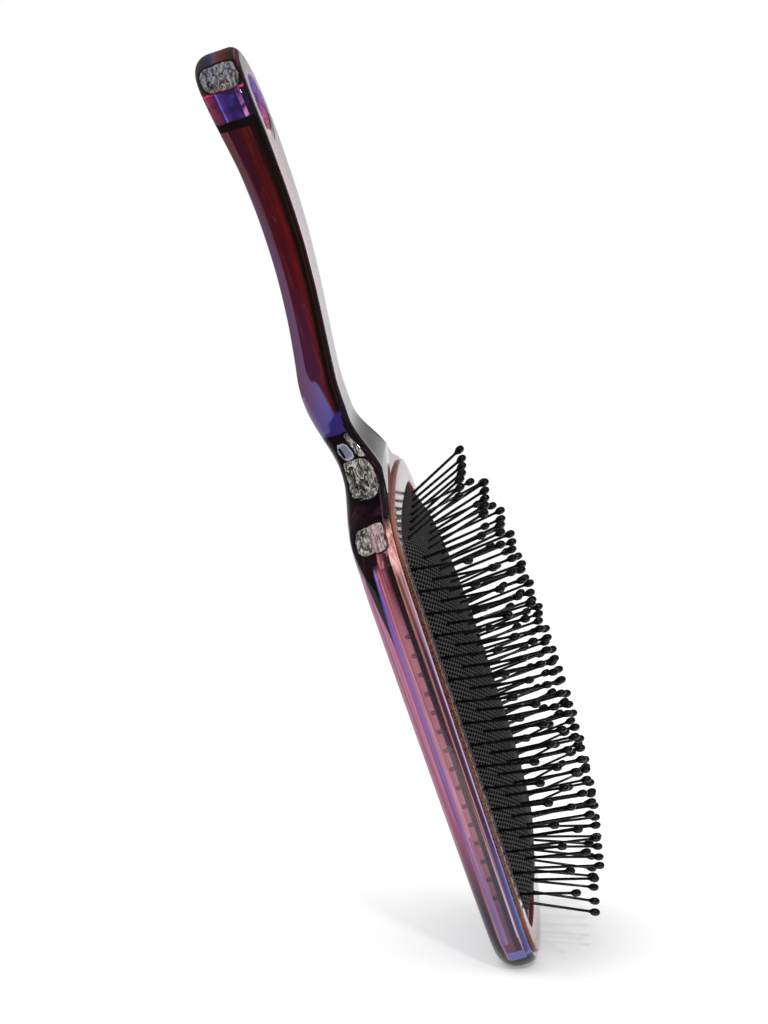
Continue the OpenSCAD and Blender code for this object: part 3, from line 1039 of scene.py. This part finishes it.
# %% [markdown]
# ## Two lamps
# A very wide sun from above gives the soft shadow on the floor. Its disc would be
# mirrored as a grey patch in the flat sides of the handle, so it is hidden from
# mirrors. A small, weak lamp above the camera gives the small glints on the pins'
# balls and on the plastic's round edges.

# %% Lamps


def lamp(name, kind, energy):
    data = bpy.data.lights.new(name, kind)
    data.energy = energy
    lamp_object = bpy.data.objects.new(name, data)
    bpy.context.scene.collection.objects.link(lamp_object)
    return lamp_object


def aimed(way):
    """The turn of a lamp whose light comes from a way"""
    return way.to_track_quat("Z", "Y").to_matrix().to_4x4()


sun = lamp("soft_sun", "SUN", 1.0)
sun.data.angle = radians(60)
sun.visible_glossy = False
sun_from = -0.40 * picture_right + 0.85 * picture_up + 0.08 * toward_camera
sun.matrix_world = aimed(sun_from)
catch = lamp("catch_light", "AREA", 1.0)
catch.data.size = 0.05
catch_from = (0.1 * picture_right + 0.55 * picture_up + 0.8 * toward_camera).normalized()
catch.matrix_world = (Matrix.Translation(Vector((0.05, 0, 0.02)) + 0.7 * catch_from)
                      @ aimed(catch_from))
print("soft sun from", sun_from)

# %% [markdown]
# ## The clear moulding: the handle's core
# The moulding is clear, glossy and deeply tinted. Light through a real brush like this
# goes a long way in thick plastic, so the tint isn't even, and a single absorption
# colour can't give that. The tint is laid out by place instead, in one node group: along
# the brush by X, and across its side by how high a point lies, which the vertices know
# as their rise. In the core of the handle it is maroon, with a mauve strip along the
# back, a black line near the front and a darker upper part.

# %% Tint of the handle's core
tint_group = bpy.data.node_groups.new("moulding_tint", "ShaderNodeTree")
tint_group.interface.new_socket("Tint", in_out="OUTPUT", socket_type="NodeSocketColor")
where = surface_point(tint_group)
x, y = along_axis(where, "X"), along_axis(where, "Y")
rise, across, sideways = [vertex_share(tint_group, name)
                          for name in ("rise", "across", "sideways")]
grain = noise(where, (18, 420, 420)) - 0.5
level = grain * 0.03 + rise
core = ramp(level, [
    (0.0, "20201c"), (0.03, "4a4046"), (0.06, "6a5060"), (0.10, "684a5c"),
    (0.265, "5c3a46"), (0.285, "4e1220"), (0.45, "480e1a"), (0.56, "500e16"),
    (0.63, "66101a"), (0.69, "5e1114"), (0.75, "400e10"), (0.78, "0a0e08"),
    (0.86, "080a06"), (0.88, "38120c"), (0.90, "40160f"), (0.915, "060404"),
    (1.0, "0c0808")])
upper_core = ramp(level, [
    (0.0, "20201c"), (0.04, "6a3c3c"), (0.21, "6c4048"), (0.24, "3c0f18"),
    (0.38, "34102a"), (0.46, "420e14"), (0.56, "501412"), (0.72, "340a12"),
    (0.76, "180a10"), (0.80, "2c0a0c"), (0.86, "0a0806"), (0.93, "0c0a08"),
    (1.0, "0c0808")])
core = mix(after(grain * 6.0 + x, -80.0, 12.0), upper_core, core)
plum = after(x, -50.0, 13.0) * between(rise, 0.285, 0.66, 0.03)
core = mix(plum * 0.75, core, "44203e")
strands = noise(where, (9, 700, 700), 3.0)
in_core = between(rise, 0.3, 0.74, 0.02)
core = mix(in_core * (between(strands, 0.585, 0.61, 0.01) * 0.14), core, "9c5050")
core = mix(in_core * (between(strands, 0.4, 0.43, 0.01) * 0.3), core, "1c080c")
print("tint nodes:", len(tint_group.nodes))

# %% [markdown]
# ## The clear moulding: the neck
# Toward the head the maroon ends in a rounded tongue, and the thin neck is violet. A
# straight border across the handle would look painted on. So the place where the violet
# starts is a sum: earlier in the strip along the back, later along the front, and
# rounded between them.

# %% Tint of the neck
neck = ramp(level, [
    (0.0, "2c2832"), (0.04, "6c4c6e"), (0.28, "704e70"), (0.42, "6c568a"),
    (0.6, "6e649c"), (0.68, "6c5a94"), (0.72, "4a1c40"), (0.84, "501430"),
    (0.88, "0c080a"), (1.0, "0c080a")])
low_neck = ramp(level, [
    (0.0, "2c2a3a"), (0.05, "64508a"), (0.3, "5e5290"), (0.6, "54549c"),
    (0.72, "3a2c7c"), (0.84, "401440"), (0.88, "0c080c"), (1.0, "0c080c")])
neck = mix(after(x, -28.0, 6.0), neck, low_neck)
back_strip = before(rise, 0.275, 0.02)
front_strip = after(rise, 0.76, 0.02)
round_end = maths("MAXIMUM", rise * -7.0 + 3.0, 0.0) ** 2.0 * -3.5
thin_end = maths("MAXIMUM", rise * 3.0 - 1.35, 0.0) ** 2.0 * 16.0
tongue_x = -34.5
neck_start = back_strip * -22.0 + tongue_x + round_end + thin_end + front_strip * 30.0
neck_soft = back_strip * 12.0 + thin_end * 0.35 + 0.35
handle_tint = mix(after((x - neck_start) / neck_soft, 0.0, 1.0), core, neck)
bend = rise * 6.5 + noise(where, 260, 1.0) * 5.0
handle_tint = mix(after(x + bend, -18.2, 0.5), handle_tint, "35286e")
print("the neck starts at", tongue_x, "mm in the middle of the side")

# %% [markdown]
# ## The clear moulding: the handle's end
# Round the hang hole the plastic is thin and shows bright violet and pink, with a red
# slanted line, and a black band of painted shade beside the hole parts it from the
# maroon. The last few millimetres are dark, behind a hot pink line. These borders run
# straight across the handle, so each is a layer over the handle's tint between two
# places on X, and noise roughens the band.

# %% Tint of the handle's end
around_hole = ramp(level, [
    (0.0, "4a3448"), (0.06, "8a4058"), (0.2, "742c50"), (0.27, "5c1c40"),
    (0.3, "2a2450"), (0.335, "8070d0"), (0.36, "4a3484"), (0.5, "3a2268"),
    (0.66, "443484"), (0.735, "281a48"), (0.75, "d890d8"), (0.83, "c880c0"),
    (0.845, "1c1420"), (1.0, "2a2026")])
around_hole = mix(after(noise(where, 300), 0.55, 0.12), around_hole, "2a1a48")
slant = rise - (x * 0.024 + 2.53)
slant_line = between(slant, -0.007, 0.007, 0.006) * before(x, -100.4, 1.6)
around_hole = mix(slant_line, around_hole, "e4565c")
end_tint = ramp(rise, [
    (0.0, "3a3030"), (0.2, "3a2c30"), (0.4, "2a2c50"), (0.5, "4a4448"),
    (0.6, "5a2c30"), (0.75, "4a2422"), (0.9, "2a2022"), (1.0, "4a4446")])
for layer, colour in (
        (between(x, -103.0, -96.4, 0.15), around_hole),
        # painted shade: the black band beside the hang hole
        (between(grain * 1.5 + x, -96.4, -94.4, 0.25), "120a0a"),
        (before(x, -103.1, 0.15), end_tint),
        (between(grain * 2.0 + x, -103.3, -102.9, 0.12), "e8406c")):
    handle_tint = mix(layer, handle_tint, colour)
print("tint nodes:", len(tint_group.nodes))

# %% [markdown]
# ## Lens patches: where they are
# Where the clear plastic is thick and curved, it acts as a lens and shows a small,
# crinkled picture of the pale room, with a dark outline. Real refraction would need the
# room as well, so the patches are drawn. There are four on each side: one by the
# handle's end, two at the waist and one where the tray begins. A patch is a distance
# from its middle, raised to a power that makes its corners rounder or squarer, and
# noise makes its outline ragged.

# %% Places of the lens patches


def patch(middle_x, half_x, middle_rise, half_rise, power=4.0):
    """How far a point is from the middle of a rounded patch, 1 on its outline"""
    return (abs((x - middle_x) / half_x) ** power
            + abs((rise - middle_rise) / half_rise) ** power)


end_patch, waist_patch = patch(-106.0, 2.7, 0.52, 0.38), patch(-11.0, 3.9, 0.49, 0.34)
upper_patch, tray_patch = patch(-18.0, 2.9, 0.79, 0.14), patch(-1.2, 2.5, 0.53, 0.3)
nearest = maths("MINIMUM", maths("MINIMUM", end_patch, waist_patch),
                maths("MINIMUM", upper_patch, tray_patch))
crinkle = noise(where, (420, 300, 420), 3.0) - 0.5
ragged = crinkle * 1.9 + nearest
in_lens = before(ragged, 0.95, 0.1)
dark_outline = between(ragged, 0.9, 1.7, 0.12)
print("lens patches: 4 on each side")

# %% [markdown]
# ## Lens patches: how they look
# Inside a patch the room is bent into thin grey layers, like a contour map. The
# fraction of a smooth noise gives such contours, fine noise frays them, and a cell
# pattern on a bent grid adds black creases. The patch by the handle's end is darker and
# bluer, and the one at the tray has pink bands over it.

# %% Look of the lens patches
fibres = noise(where, (300, 900, 1400), 4.0)
layers = maths("FRACT", fibres * 1.6 + noise(where, (130, 120, 330), 1.0) * 7.0)
shade = noise(where, (90, 200, 330), 1.0)
wobble = add_node(tint_group, "TexNoise", {"Vector": where, "Scale": 420, "Detail": 2},
                  "Color")
bent = add_node(tint_group, "VectorMath",
                {0: wobble, 1: (0.0035, 0.0022, 0.0022), 2: where},
                operation="MULTIPLY_ADD")
cell_edge = add_node(tint_group, "TexVoronoi", {
    "Vector": stretched(bent, (150, 500, 980)), "Scale": 1.0}, "Distance",
    feature="DISTANCE_TO_EDGE")
pale_band = after(noise(where, (10, 500, 1900), 3.0), 0.5, 0.06) * 0.4 + 0.12
lens_look = ramp(layers, [
    (0.0, "0c0b0b"), (0.08, "302e2e"), (0.3, "4a4847"), (0.6, "7c7a75"),
    (0.86, "b8b6aa"), (0.94, "dedcd2"), (1.0, "0c0b0b")])
for layer, colour in (
        (between(shade, 0.0, 0.45, 0.12) * 0.65, "1c1a1b"),
        (after(fibres, 0.58, 0.03) * 0.6, "d0cec4"),
        (between(x, -108.6, -105.6, 0.5) * after(fibres, 0.5, 0.06) * 0.7, "a4a4ba"),
        (before(cell_edge, 0.035, 0.035), "0e0d0e"),
        (between(ragged, 0.7, 0.9, 0.06) * 0.2, "b4b2a6"),
        (before(x, -100.0, 1.0) * 0.42, "332c3e"),
        (after(x, -4.6, 0.4) * (between(rise, 0.52, 0.85, 0.07) * pale_band), "e0b8c4")):
    lens_look = mix(layer, lens_look, colour)
print("tint nodes:", len(tint_group.nodes))

# %% [markdown]
# ## The glint at the waist
# Between the waist's two patches there is a pale blue glint with a black slot in it,
# like a window's bent mirror image. A lamp placed for it would show in only one view. It
# is made as one more patch, brighter toward its outline, so every view of the side has
# it.

# %% Glint
glint_x, glint_half = -17.0, 2.1
ragged_glint = crinkle * 2.0 + patch(glint_x, glint_half, 0.42, 0.19, 2.2)
glint = before(ragged_glint, 0.95, 0.08)
slot = before(crinkle * 1.5 + patch(-16.9, 1.3, 0.32, 0.045), 0.9, 0.15)
glint_look = mix(slot, ramp(ragged_glint, [
    (0.0, "727486"), (0.45, "7c7e92"), (0.7, "9a9cae"), (0.8, "b8bac8"),
    (0.95, "5a5a64")]), "141314")
print("the glint is", 2 * glint_half, "mm long")

# %% [markdown]
# ## The waist
# Between the neck and the tray the plastic is thickest, and next to no light comes
# through. It is nearly black, but one even black would look painted on, so a little
# noise puts dull red clouds in it, and a ramp paints a paler line along both edges, a
# painted reflection at the grazing edges.

# %% Tint of the waist
# the pale greys at both ends of this ramp are a painted reflection along the edges
waist_tint = ramp(rise, [
    (0.0, "6a6668"), (0.06, "4a4648"), (0.13, "120c0e"), (0.5, "180b10"),
    (0.7, "140a0e"), (0.85, "0c0a0c"), (0.93, "1a1618"), (1.0, "3a3638")])
clouds = noise(where, (60, 300, 300), 3.0)
waist_tint = mix(after(clouds, 0.62, 0.1), waist_tint, "381622")
print("tint nodes:", len(tint_group.nodes))

# %% [markdown]
# ## The tray's side
# The tray's wall is a pale mauve pink with thin lines along it: the seat ring, the
# edge of the rubber and the rim seen through the plastic, each bent into a stripe. Real
# refraction gives such stripes only when every hidden face behind the wall is right, so
# they are laid on the wall as a ramp over the height. They change their colours on the
# way, so there are three ramps, near the handle, along the middle and at the tip, and
# each fades into the next.

# %% Stripes of the tray
high_tray = ramp(level, [
    (0.0, "4a3444"), (0.06, "8a4870"), (0.2, "b0648c"), (0.36, "a8608c"),
    (0.45, "6a58b0"), (0.51, "7a64c8"), (0.53, "a83848"), (0.56, "f09ca0"),
    (0.585, "c85c68"), (0.61, "d88890"), (0.63, "8a4c54"), (0.67, "7a444c"),
    (0.72, "402226"), (0.815, "2c181c"), (0.83, "e0a090"), (0.855, "94584e"),
    (0.88, "74443e"), (0.90, "a0685c"), (0.93, "7c4a4c"), (0.95, "f8c8d4"),
    (0.97, "b07060"), (1.0, "4a3028")])
low_tray = ramp(level, [
    (0.0, "4a3048"), (0.04, "7c3a60"), (0.14, "9c4870"), (0.3, "a45274"),
    (0.43, "985080"), (0.455, "9a6298"), (0.476, "7e6cba"), (0.494, "7c6cb6"),
    (0.515, "a86890"), (0.57, "e4a4b0"), (0.60, "d094a0"), (0.66, "d8a8ac"),
    (0.72, "cc9ca0"), (0.74, "604a5c"), (0.82, "5a4656"), (0.835, "6a2c34"),
    (0.852, "cc988c"), (0.866, "743a3e"), (0.89, "40304c"), (0.935, "4a3858"),
    (0.952, "f0ccf4"), (0.972, "e0b0e0"), (0.985, "5a3c34"), (1.0, "4a342c")])
tip_tray = ramp(level, [
    (0.0, "34303c"), (0.05, "3c3058"), (0.16, "302c48"), (0.3, "26242e"),
    (0.43, "201e28"), (0.452, "d88c8c"), (0.472, "8a6a98"), (0.52, "6a5a94"),
    (0.56, "8070a8"), (0.595, "b8a0cc"), (0.62, "6c5470"), (0.80, "60486a"),
    (0.82, "f0d8e8"), (0.84, "6a5078"), (0.88, "4c4478"), (0.92, "5464b0"),
    (0.965, "6478c8"), (0.985, "503040"), (1.0, "5a3830")])
tray_tint = mix(after(x, 19.0, 10.0), high_tray, low_tray)
tray_tint = mix(after(x, 78.0, 15.0), tray_tint, tip_tray)
print("tint nodes:", len(tint_group.nodes))

# %% [markdown]
# ## Marks on the tray's side
# Over the stripes lie the marks that don't run the whole way: a painted salmon shine by
# the handle, pale and dark streaks, a black wedge where the waist runs out, and at the
# tip a dark cap with one blue facet. They could each be a material of their own, but
# then their borders would follow the faces. As masks with a colour, laid on in turn,
# they have any outline and a soft edge.

# %% Marks on the tray
salmon = between(x, -4.0, 6.5, 1.2) * between(level, 0.82, 0.985, 0.015)
# painted shine: salmon to near white by the handle
shine = ramp(noise(where, (22, 600, 1300)), [
    (0.35, "b06c62"), (0.46, "ea9c90"), (0.56, "f4b8ac"), (0.64, "fce4de")])
streak_noise = noise(where, (12, 900, 900), 3.0)
wedge = between(rise, x * 0.0085 + 0.225, x * -0.003 + 0.49, 0.012)
end_face = before(abs(y), 26.0, 3.0)
tip_cap = maths("MAXIMUM", after(x, 103.6, 0.3) * (end_face * -0.7 + 1.0),
                after(x, 99.0, 4.0) * before(rise, 0.45, 0.01))
for layer, colour in (
        (salmon, shine),
        (after(streak_noise, 0.58, 0.05) * 0.3, "e8bcc8"),
        (between(streak_noise, 0.38, 0.44, 0.02) * 0.35, "3c2434"),
        (wedge * between(x, 1.0, 23.0, 0.5), "100b0c"),
        (after(x, 98.8, 0.4) * between(rise, 0.5, 0.82, 0.02), "6c4660"),
        (tip_cap, "181416"),
        (between(x, 101.3, 104.0, 0.15) * between(rise, 0.47, 0.84, 0.02), "7674b8")):
    tray_tint = mix(layer, tray_tint, colour)
print("tint nodes:", len(tint_group.nodes))

# %% [markdown]
# ## The whole side
# The handle, the waist and the tray are joined where they meet on the brush. High on
# the side the tray begins nearer to the handle than low on it, as the flare does. The
# patches and the glint lie over all of it, since they are only seen in the surface.

# %% Tint of the whole side
tray_start = after(rise, 0.6, 0.03) * -7.6 + 5.0
head_tint = mix(after(x, tray_start, 1.6), waist_tint, tray_tint)
waist_x = -21.2
side_tint = mix(after(x, waist_x, 0.15), handle_tint, head_tint)
for layer, colour in ((dark_outline * 0.85, "0a0809"), (in_lens, lens_look),
                      (glint, glint_look)):
    side_tint = mix(layer, side_tint, colour)
print("the waist starts at", waist_x, "mm")

# %% [markdown]
# ## The front, the back and the hang hole
# Seen from the front or the back the plastic is thin, so the pink of the handle is
# brighter there, with painted shade darkening it at the edges; the flare is made grey by
# painted shade, mostly on its +Y half, and the tray is almost clear. The wall of the
# hang hole is pale violet with fine lines. The vertices' share of facing sideways says
# where the side's tint ends and this one starts.

# %% Tint of the front, the back and the hang hole
plain_tint = ramp(x * (1 / (2 * half_length)) + 0.5, [
    (0.0, "7a3c60"), (0.08, "7a2448"), (0.3, "6a1424"), (0.38, "5c2c6a"),
    (0.45, "44202e"), (0.55, "c8a0b8"), (1.0, "c4a4c0")])
off_middle, on_handle = abs(across), before(x, -24.0, 6.0)
for layer, colour in (
        (between(off_middle, 0.42, 0.8, 0.06) * on_handle, "f090ac"),
        # painted shade: near black along the front's edges on the handle
        (after(off_middle, 0.86, 0.04) * on_handle, "0c0809"),
        # painted shade: dark grey over the flare, mostly on its +Y half
        (between(x, -25.0, -4.0, 2.0) * after(across, -0.1, 0.5), "2a2628")):
    plain_tint = mix(layer, plain_tint, colour)
hole_tint = ramp(x * (1 / 14) + 7.5, [
    (0.0, "b878a8"), (0.2, "8a74bc"), (0.4, "9682cc"), (0.65, "a464a4"),
    (1.0, "c4647c")])
inner_lines = noise(where, (30, 500, 500))
hole_tint = mix(between(inner_lines, 0.42, 0.48, 0.03) * 0.55, hole_tint, "3c2058")
hole_tint = mix(between(inner_lines, 0.6, 0.64, 0.02) * 0.35, hole_tint, "c8b0dc")
from_hole = maths("SQRT", y * y + abs(x - hole_x) ** 2.0)
tint = mix(sideways, plain_tint, side_tint)
tint = mix(before(from_hole, hole_r + lip, 0.3), tint, hole_tint)
join(tint, tint_group.nodes.new("NodeGroupOutput").inputs[0])
print("tint nodes:", len(tint_group.nodes))

# %% [markdown]
# ## Wear
# Every piece here has been handled, so none is quite even. An even roughness is what
# gives a render away. One node group, which all the plastics share, gives an uneven one,
# from faint smears and finer specks, and a surface that is very slightly wavy. Each
# material places it with its own least and most roughness.

# %% Wear of a moulded surface
wear = bpy.data.node_groups.new("moulded_wear", "ShaderNodeTree")
for name, way, kind in (
        ("Least roughness", "INPUT", "Float"), ("Most roughness", "INPUT", "Float"),
        ("Roughness", "OUTPUT", "Float"), ("Normal", "OUTPUT", "Vector")):
    wear.interface.new_socket(name, in_out=way, socket_type="NodeSocket" + kind)
where = surface_point(wear)
smears = noise(where, 2600) * 0.4 + noise(where, (60, 160, 160), 4.0, 0.6)
least, most = [Value(socket) for socket in wear.nodes.new("NodeGroupInput").outputs[:2]]
rough = add_node(wear, "MapRange", {
    "Value": smears, "From Min": 0.4, "From Max": 1.0, "To Min": least, "To Max": most},
    "Result")
wavy = add_node(wear, "Bump", {
    "Strength": 0.12, "Distance": 0.0001, "Height": noise(where, 110)})
wear_output = wear.nodes.new("NodeGroupOutput")
join(rough, wear_output.inputs["Roughness"])
join(wavy, wear_output.inputs["Normal"])
print("wear nodes:", len(wear.nodes))

# %% [markdown]
# ## A plastic
# All the pieces are plastic or rubber, so one shader serves for all: the Principled
# BSDF, at the refraction of clear plastic. What is even all over a piece is set on the
# shader itself. What changes over it comes from nodes.

# %% Start of every plastic
plastic_ior = 1.49


def plastic(name, code, specular, transmission=0.0):
    """A new material and its shader, with the values that are even all over"""
    material = bpy.data.materials.new(name)
    material.use_nodes = True
    shader = material.node_tree.nodes["Principled BSDF"]
    for socket, value in (("Base Color", code), ("Specular IOR Level", specular),
                          ("Transmission Weight", transmission), ("IOR", plastic_ior)):
        join(value, shader.inputs[socket])
    return material, shader


def worn(shader, least, most, with_waves=True):
    """Places the wear in a material, with its own least and most roughness"""
    rough = add_node(shader.id_data, "Group", {
        "Least roughness": least, "Most roughness": most}, "Roughness", node_tree=wear)
    join(rough, shader.inputs["Roughness"])
    if with_waves:
        join(Value(rough.socket.node.outputs["Normal"]), shader.inputs["Normal"])


print("refraction", plastic_ior)

# %% [markdown]
# ## Four plastics with one tint
# The real moulding is one plastic, but its thick parts let less light through. One
# see-through material can't show that, because its colour lies on the faces and not in
# the depth. So the faces have four plastics that share the tint: the clear one of the
# front and the back, a deep one for the side and the hang hole, in it a window along
# the tray through which the seat ring shows, and the nearly black waist.

# %% Plastics of the moulding
for name, transmission, specular in (
        ("clear_tinted_plastic", 1.0, 0.5), ("deep_tinted_plastic", 0.1, 0.22),
        ("window_tinted_plastic", 0.8, 0.3), ("waist_tinted_plastic", 0.1, 0.06)):
    material, shader = plastic(name, "8a2038", specular, transmission)
    join(add_node(material.node_tree, "Group", {}, node_tree=tint_group),
         shader.inputs["Base Color"])
    worn(shader, 0.01, 0.06)
    moulding.data.materials.append(material)
CLEAR, DEEP, WINDOW, WAIST = range(4)


def side_kind(along, up):
    """Which plastic a face of the side has, by its place along the brush and its rise"""
    if -21 < along < 0:
        return WAIST
    return WINDOW if 4 < along < 101 and 0.57 < up < 0.815 else DEEP


for face in moulding.data.polygons:
    corners = face.vertices
    side = sum(sideways_values[v] for v in corners) / len(corners)
    up = sum(rise_values[v] for v in corners) / len(corners)
    along = face.center.x * 1000
    by_hole = Vector((along - hole_x, face.center.y * 1000)).length < hole_r + lip
    face.material_index = (side_kind(along, up) if side > 0.5
                           else DEEP if by_hole else CLEAR)
print("deep faces:", sum(f.material_index == DEEP for f in moulding.data.polygons))

# %% [markdown]
# ## The rim's plastic
# The rim frame is clear and faintly pink. Its outer edge has a brown, dotted line where
# it is pressed on the tray, warmer near the handle and redder at the tip, and its inner
# edge is red against the rubber. The vertices' edge share says which is which. The
# frame is less clear at both edges, so the faces there have a copy of the material.

# %% Plastics of the rim frame
rim_plastic, shader = plastic("clear_pink_plastic", "ecc4c0", 0.3, 0.92)
where = surface_point(rim_plastic.node_tree)
x, edge = along_axis(where, "X"), vertex_share(rim_plastic.node_tree, "edge")
outer_edge = mix(after(noise(where, (2600, 900, 5200), 1.0), 0.5, 0.12),
                 "4c3024", "9c6a50")
outer_edge = mix(before(x, 4.0, 6.0) * 0.8, outer_edge, "d48c7c")
outer_edge = mix(after(x, 92.0, 6.0) * 0.75, outer_edge, "a84424")
rim_tint = mix(after(edge, 0.6, 0.3), "f2dcd8", outer_edge)
rim_tint = mix(after(edge, 1.5, 0.3), rim_tint, "b4402a")
join(rim_tint, shader.inputs["Base Color"])
worn(shader, 0.03, 0.14)
edge_plastic = rim_plastic.copy()
edge_plastic.name = "pink_edge_plastic"
join(0.45, edge_plastic.node_tree.nodes[shader.name].inputs["Transmission Weight"])
for material in (rim_plastic, edge_plastic):
    rim.data.materials.append(material)
for face in rim.data.polygons:
    share = sum(edge_values[v] for v in face.vertices) / len(face.vertices)
    face.material_index = 1 if share > 0.6 else 0
print("faces on the rim's edges:", sum(f.material_index for f in rim.data.polygons))

# %% [markdown]
# ## The seat ring's plastic
# The seat ring is seen only through the tray's wall, as a pale pink band with dark
# notches. It keeps the mesh of the CAD model, which has all of its shape already, and
# only gets a material. Behind the tinted wall it would be too dark, since less light
# reaches it here than in a real brush, so it glows a little in its own colour.

# %% Plastic of the seat ring
ring_plastic, shader = plastic("ring_pink", "e8b8c4", 0.5)
where = surface_point(ring_plastic.node_tree)
ring_tint_and_glow = mix(noise(where, (60, 60, 300), 3.0), "d89cac", "f8d0d8")
join(ring_tint_and_glow, shader.inputs["Base Color"])
# painted light: the ring's own colour also glows, so that it shows behind the tinted wall
join(ring_tint_and_glow, shader.inputs["Emission Color"])
join(0.4, shader.inputs["Emission Strength"])
worn(shader, 0.12, 0.35)
for slot in frame["nodes"]["seat_ring"].material_slots:
    slot.material = ring_plastic
print("ring nodes:", len(ring_plastic.node_tree.nodes))

# %% [markdown]
# ## The rubber's hatching
# The rubber has fine raised lines that cross on the slant, all over its face. As
# geometry they would be some hundred thousand faces, so two wave textures give them,
# for a bump and for a slightly lighter colour along their tops. At a scale of 1 the
# wave repeats every 0.3142 m, which gives the scale for any pitch.

# %% Rubber
rubber, shader = plastic("black_rubber", "1a1a1a", 0.05)
where = surface_point(rubber.node_tree)
hatch_pitch, hatch_slant, wave_length = 0.95, 38, 0.3142


def lines(slant):
    turned = stretched(where, (1, 1, 0.001), (0, 0, radians(slant)))
    return add_node(rubber.node_tree, "TexWave", {
        "Vector": turned, "Scale": wave_length / hatch_pitch * 1000}, "Fac")


hatch = maths("MAXIMUM", lines(hatch_slant), lines(-hatch_slant))
join(mix(after(hatch, 0.955, 0.04), "000000", "6c6c6c"), shader.inputs["Base Color"])
raised = add_node(rubber.node_tree, "Bump", {
    "Strength": 0.6, "Distance": 0.0003, "Height": hatch})
join(raised, shader.inputs["Normal"])
worn(shader, 0.45, 0.75, with_waves=False)
cushion.data.materials.append(rubber)
print("rubber nodes:", len(rubber.node_tree.nodes))

# %% [markdown]
# ## The pins' plastic
# The pins are hard, black and glossy, so what is seen of them is mostly their gloss.
# Pure black would hide their shape, so the colour is a very dark grey, and a faint noise
# keeps it from being quite even. All 18 rows share one material.

# %% Plastic of the pins
pin_plastic, shader = plastic("black_pin_plastic", "0c0c0d", 0.4)
where = surface_point(pin_plastic.node_tree)
join(mix(noise(where, 900), "050505", "131314"), shader.inputs["Base Color"])
worn(shader, 0.08, 0.26)
for pins in pin_rows:
    pins.data.materials.append(pin_plastic)
print("materials:", len(bpy.data.materials))
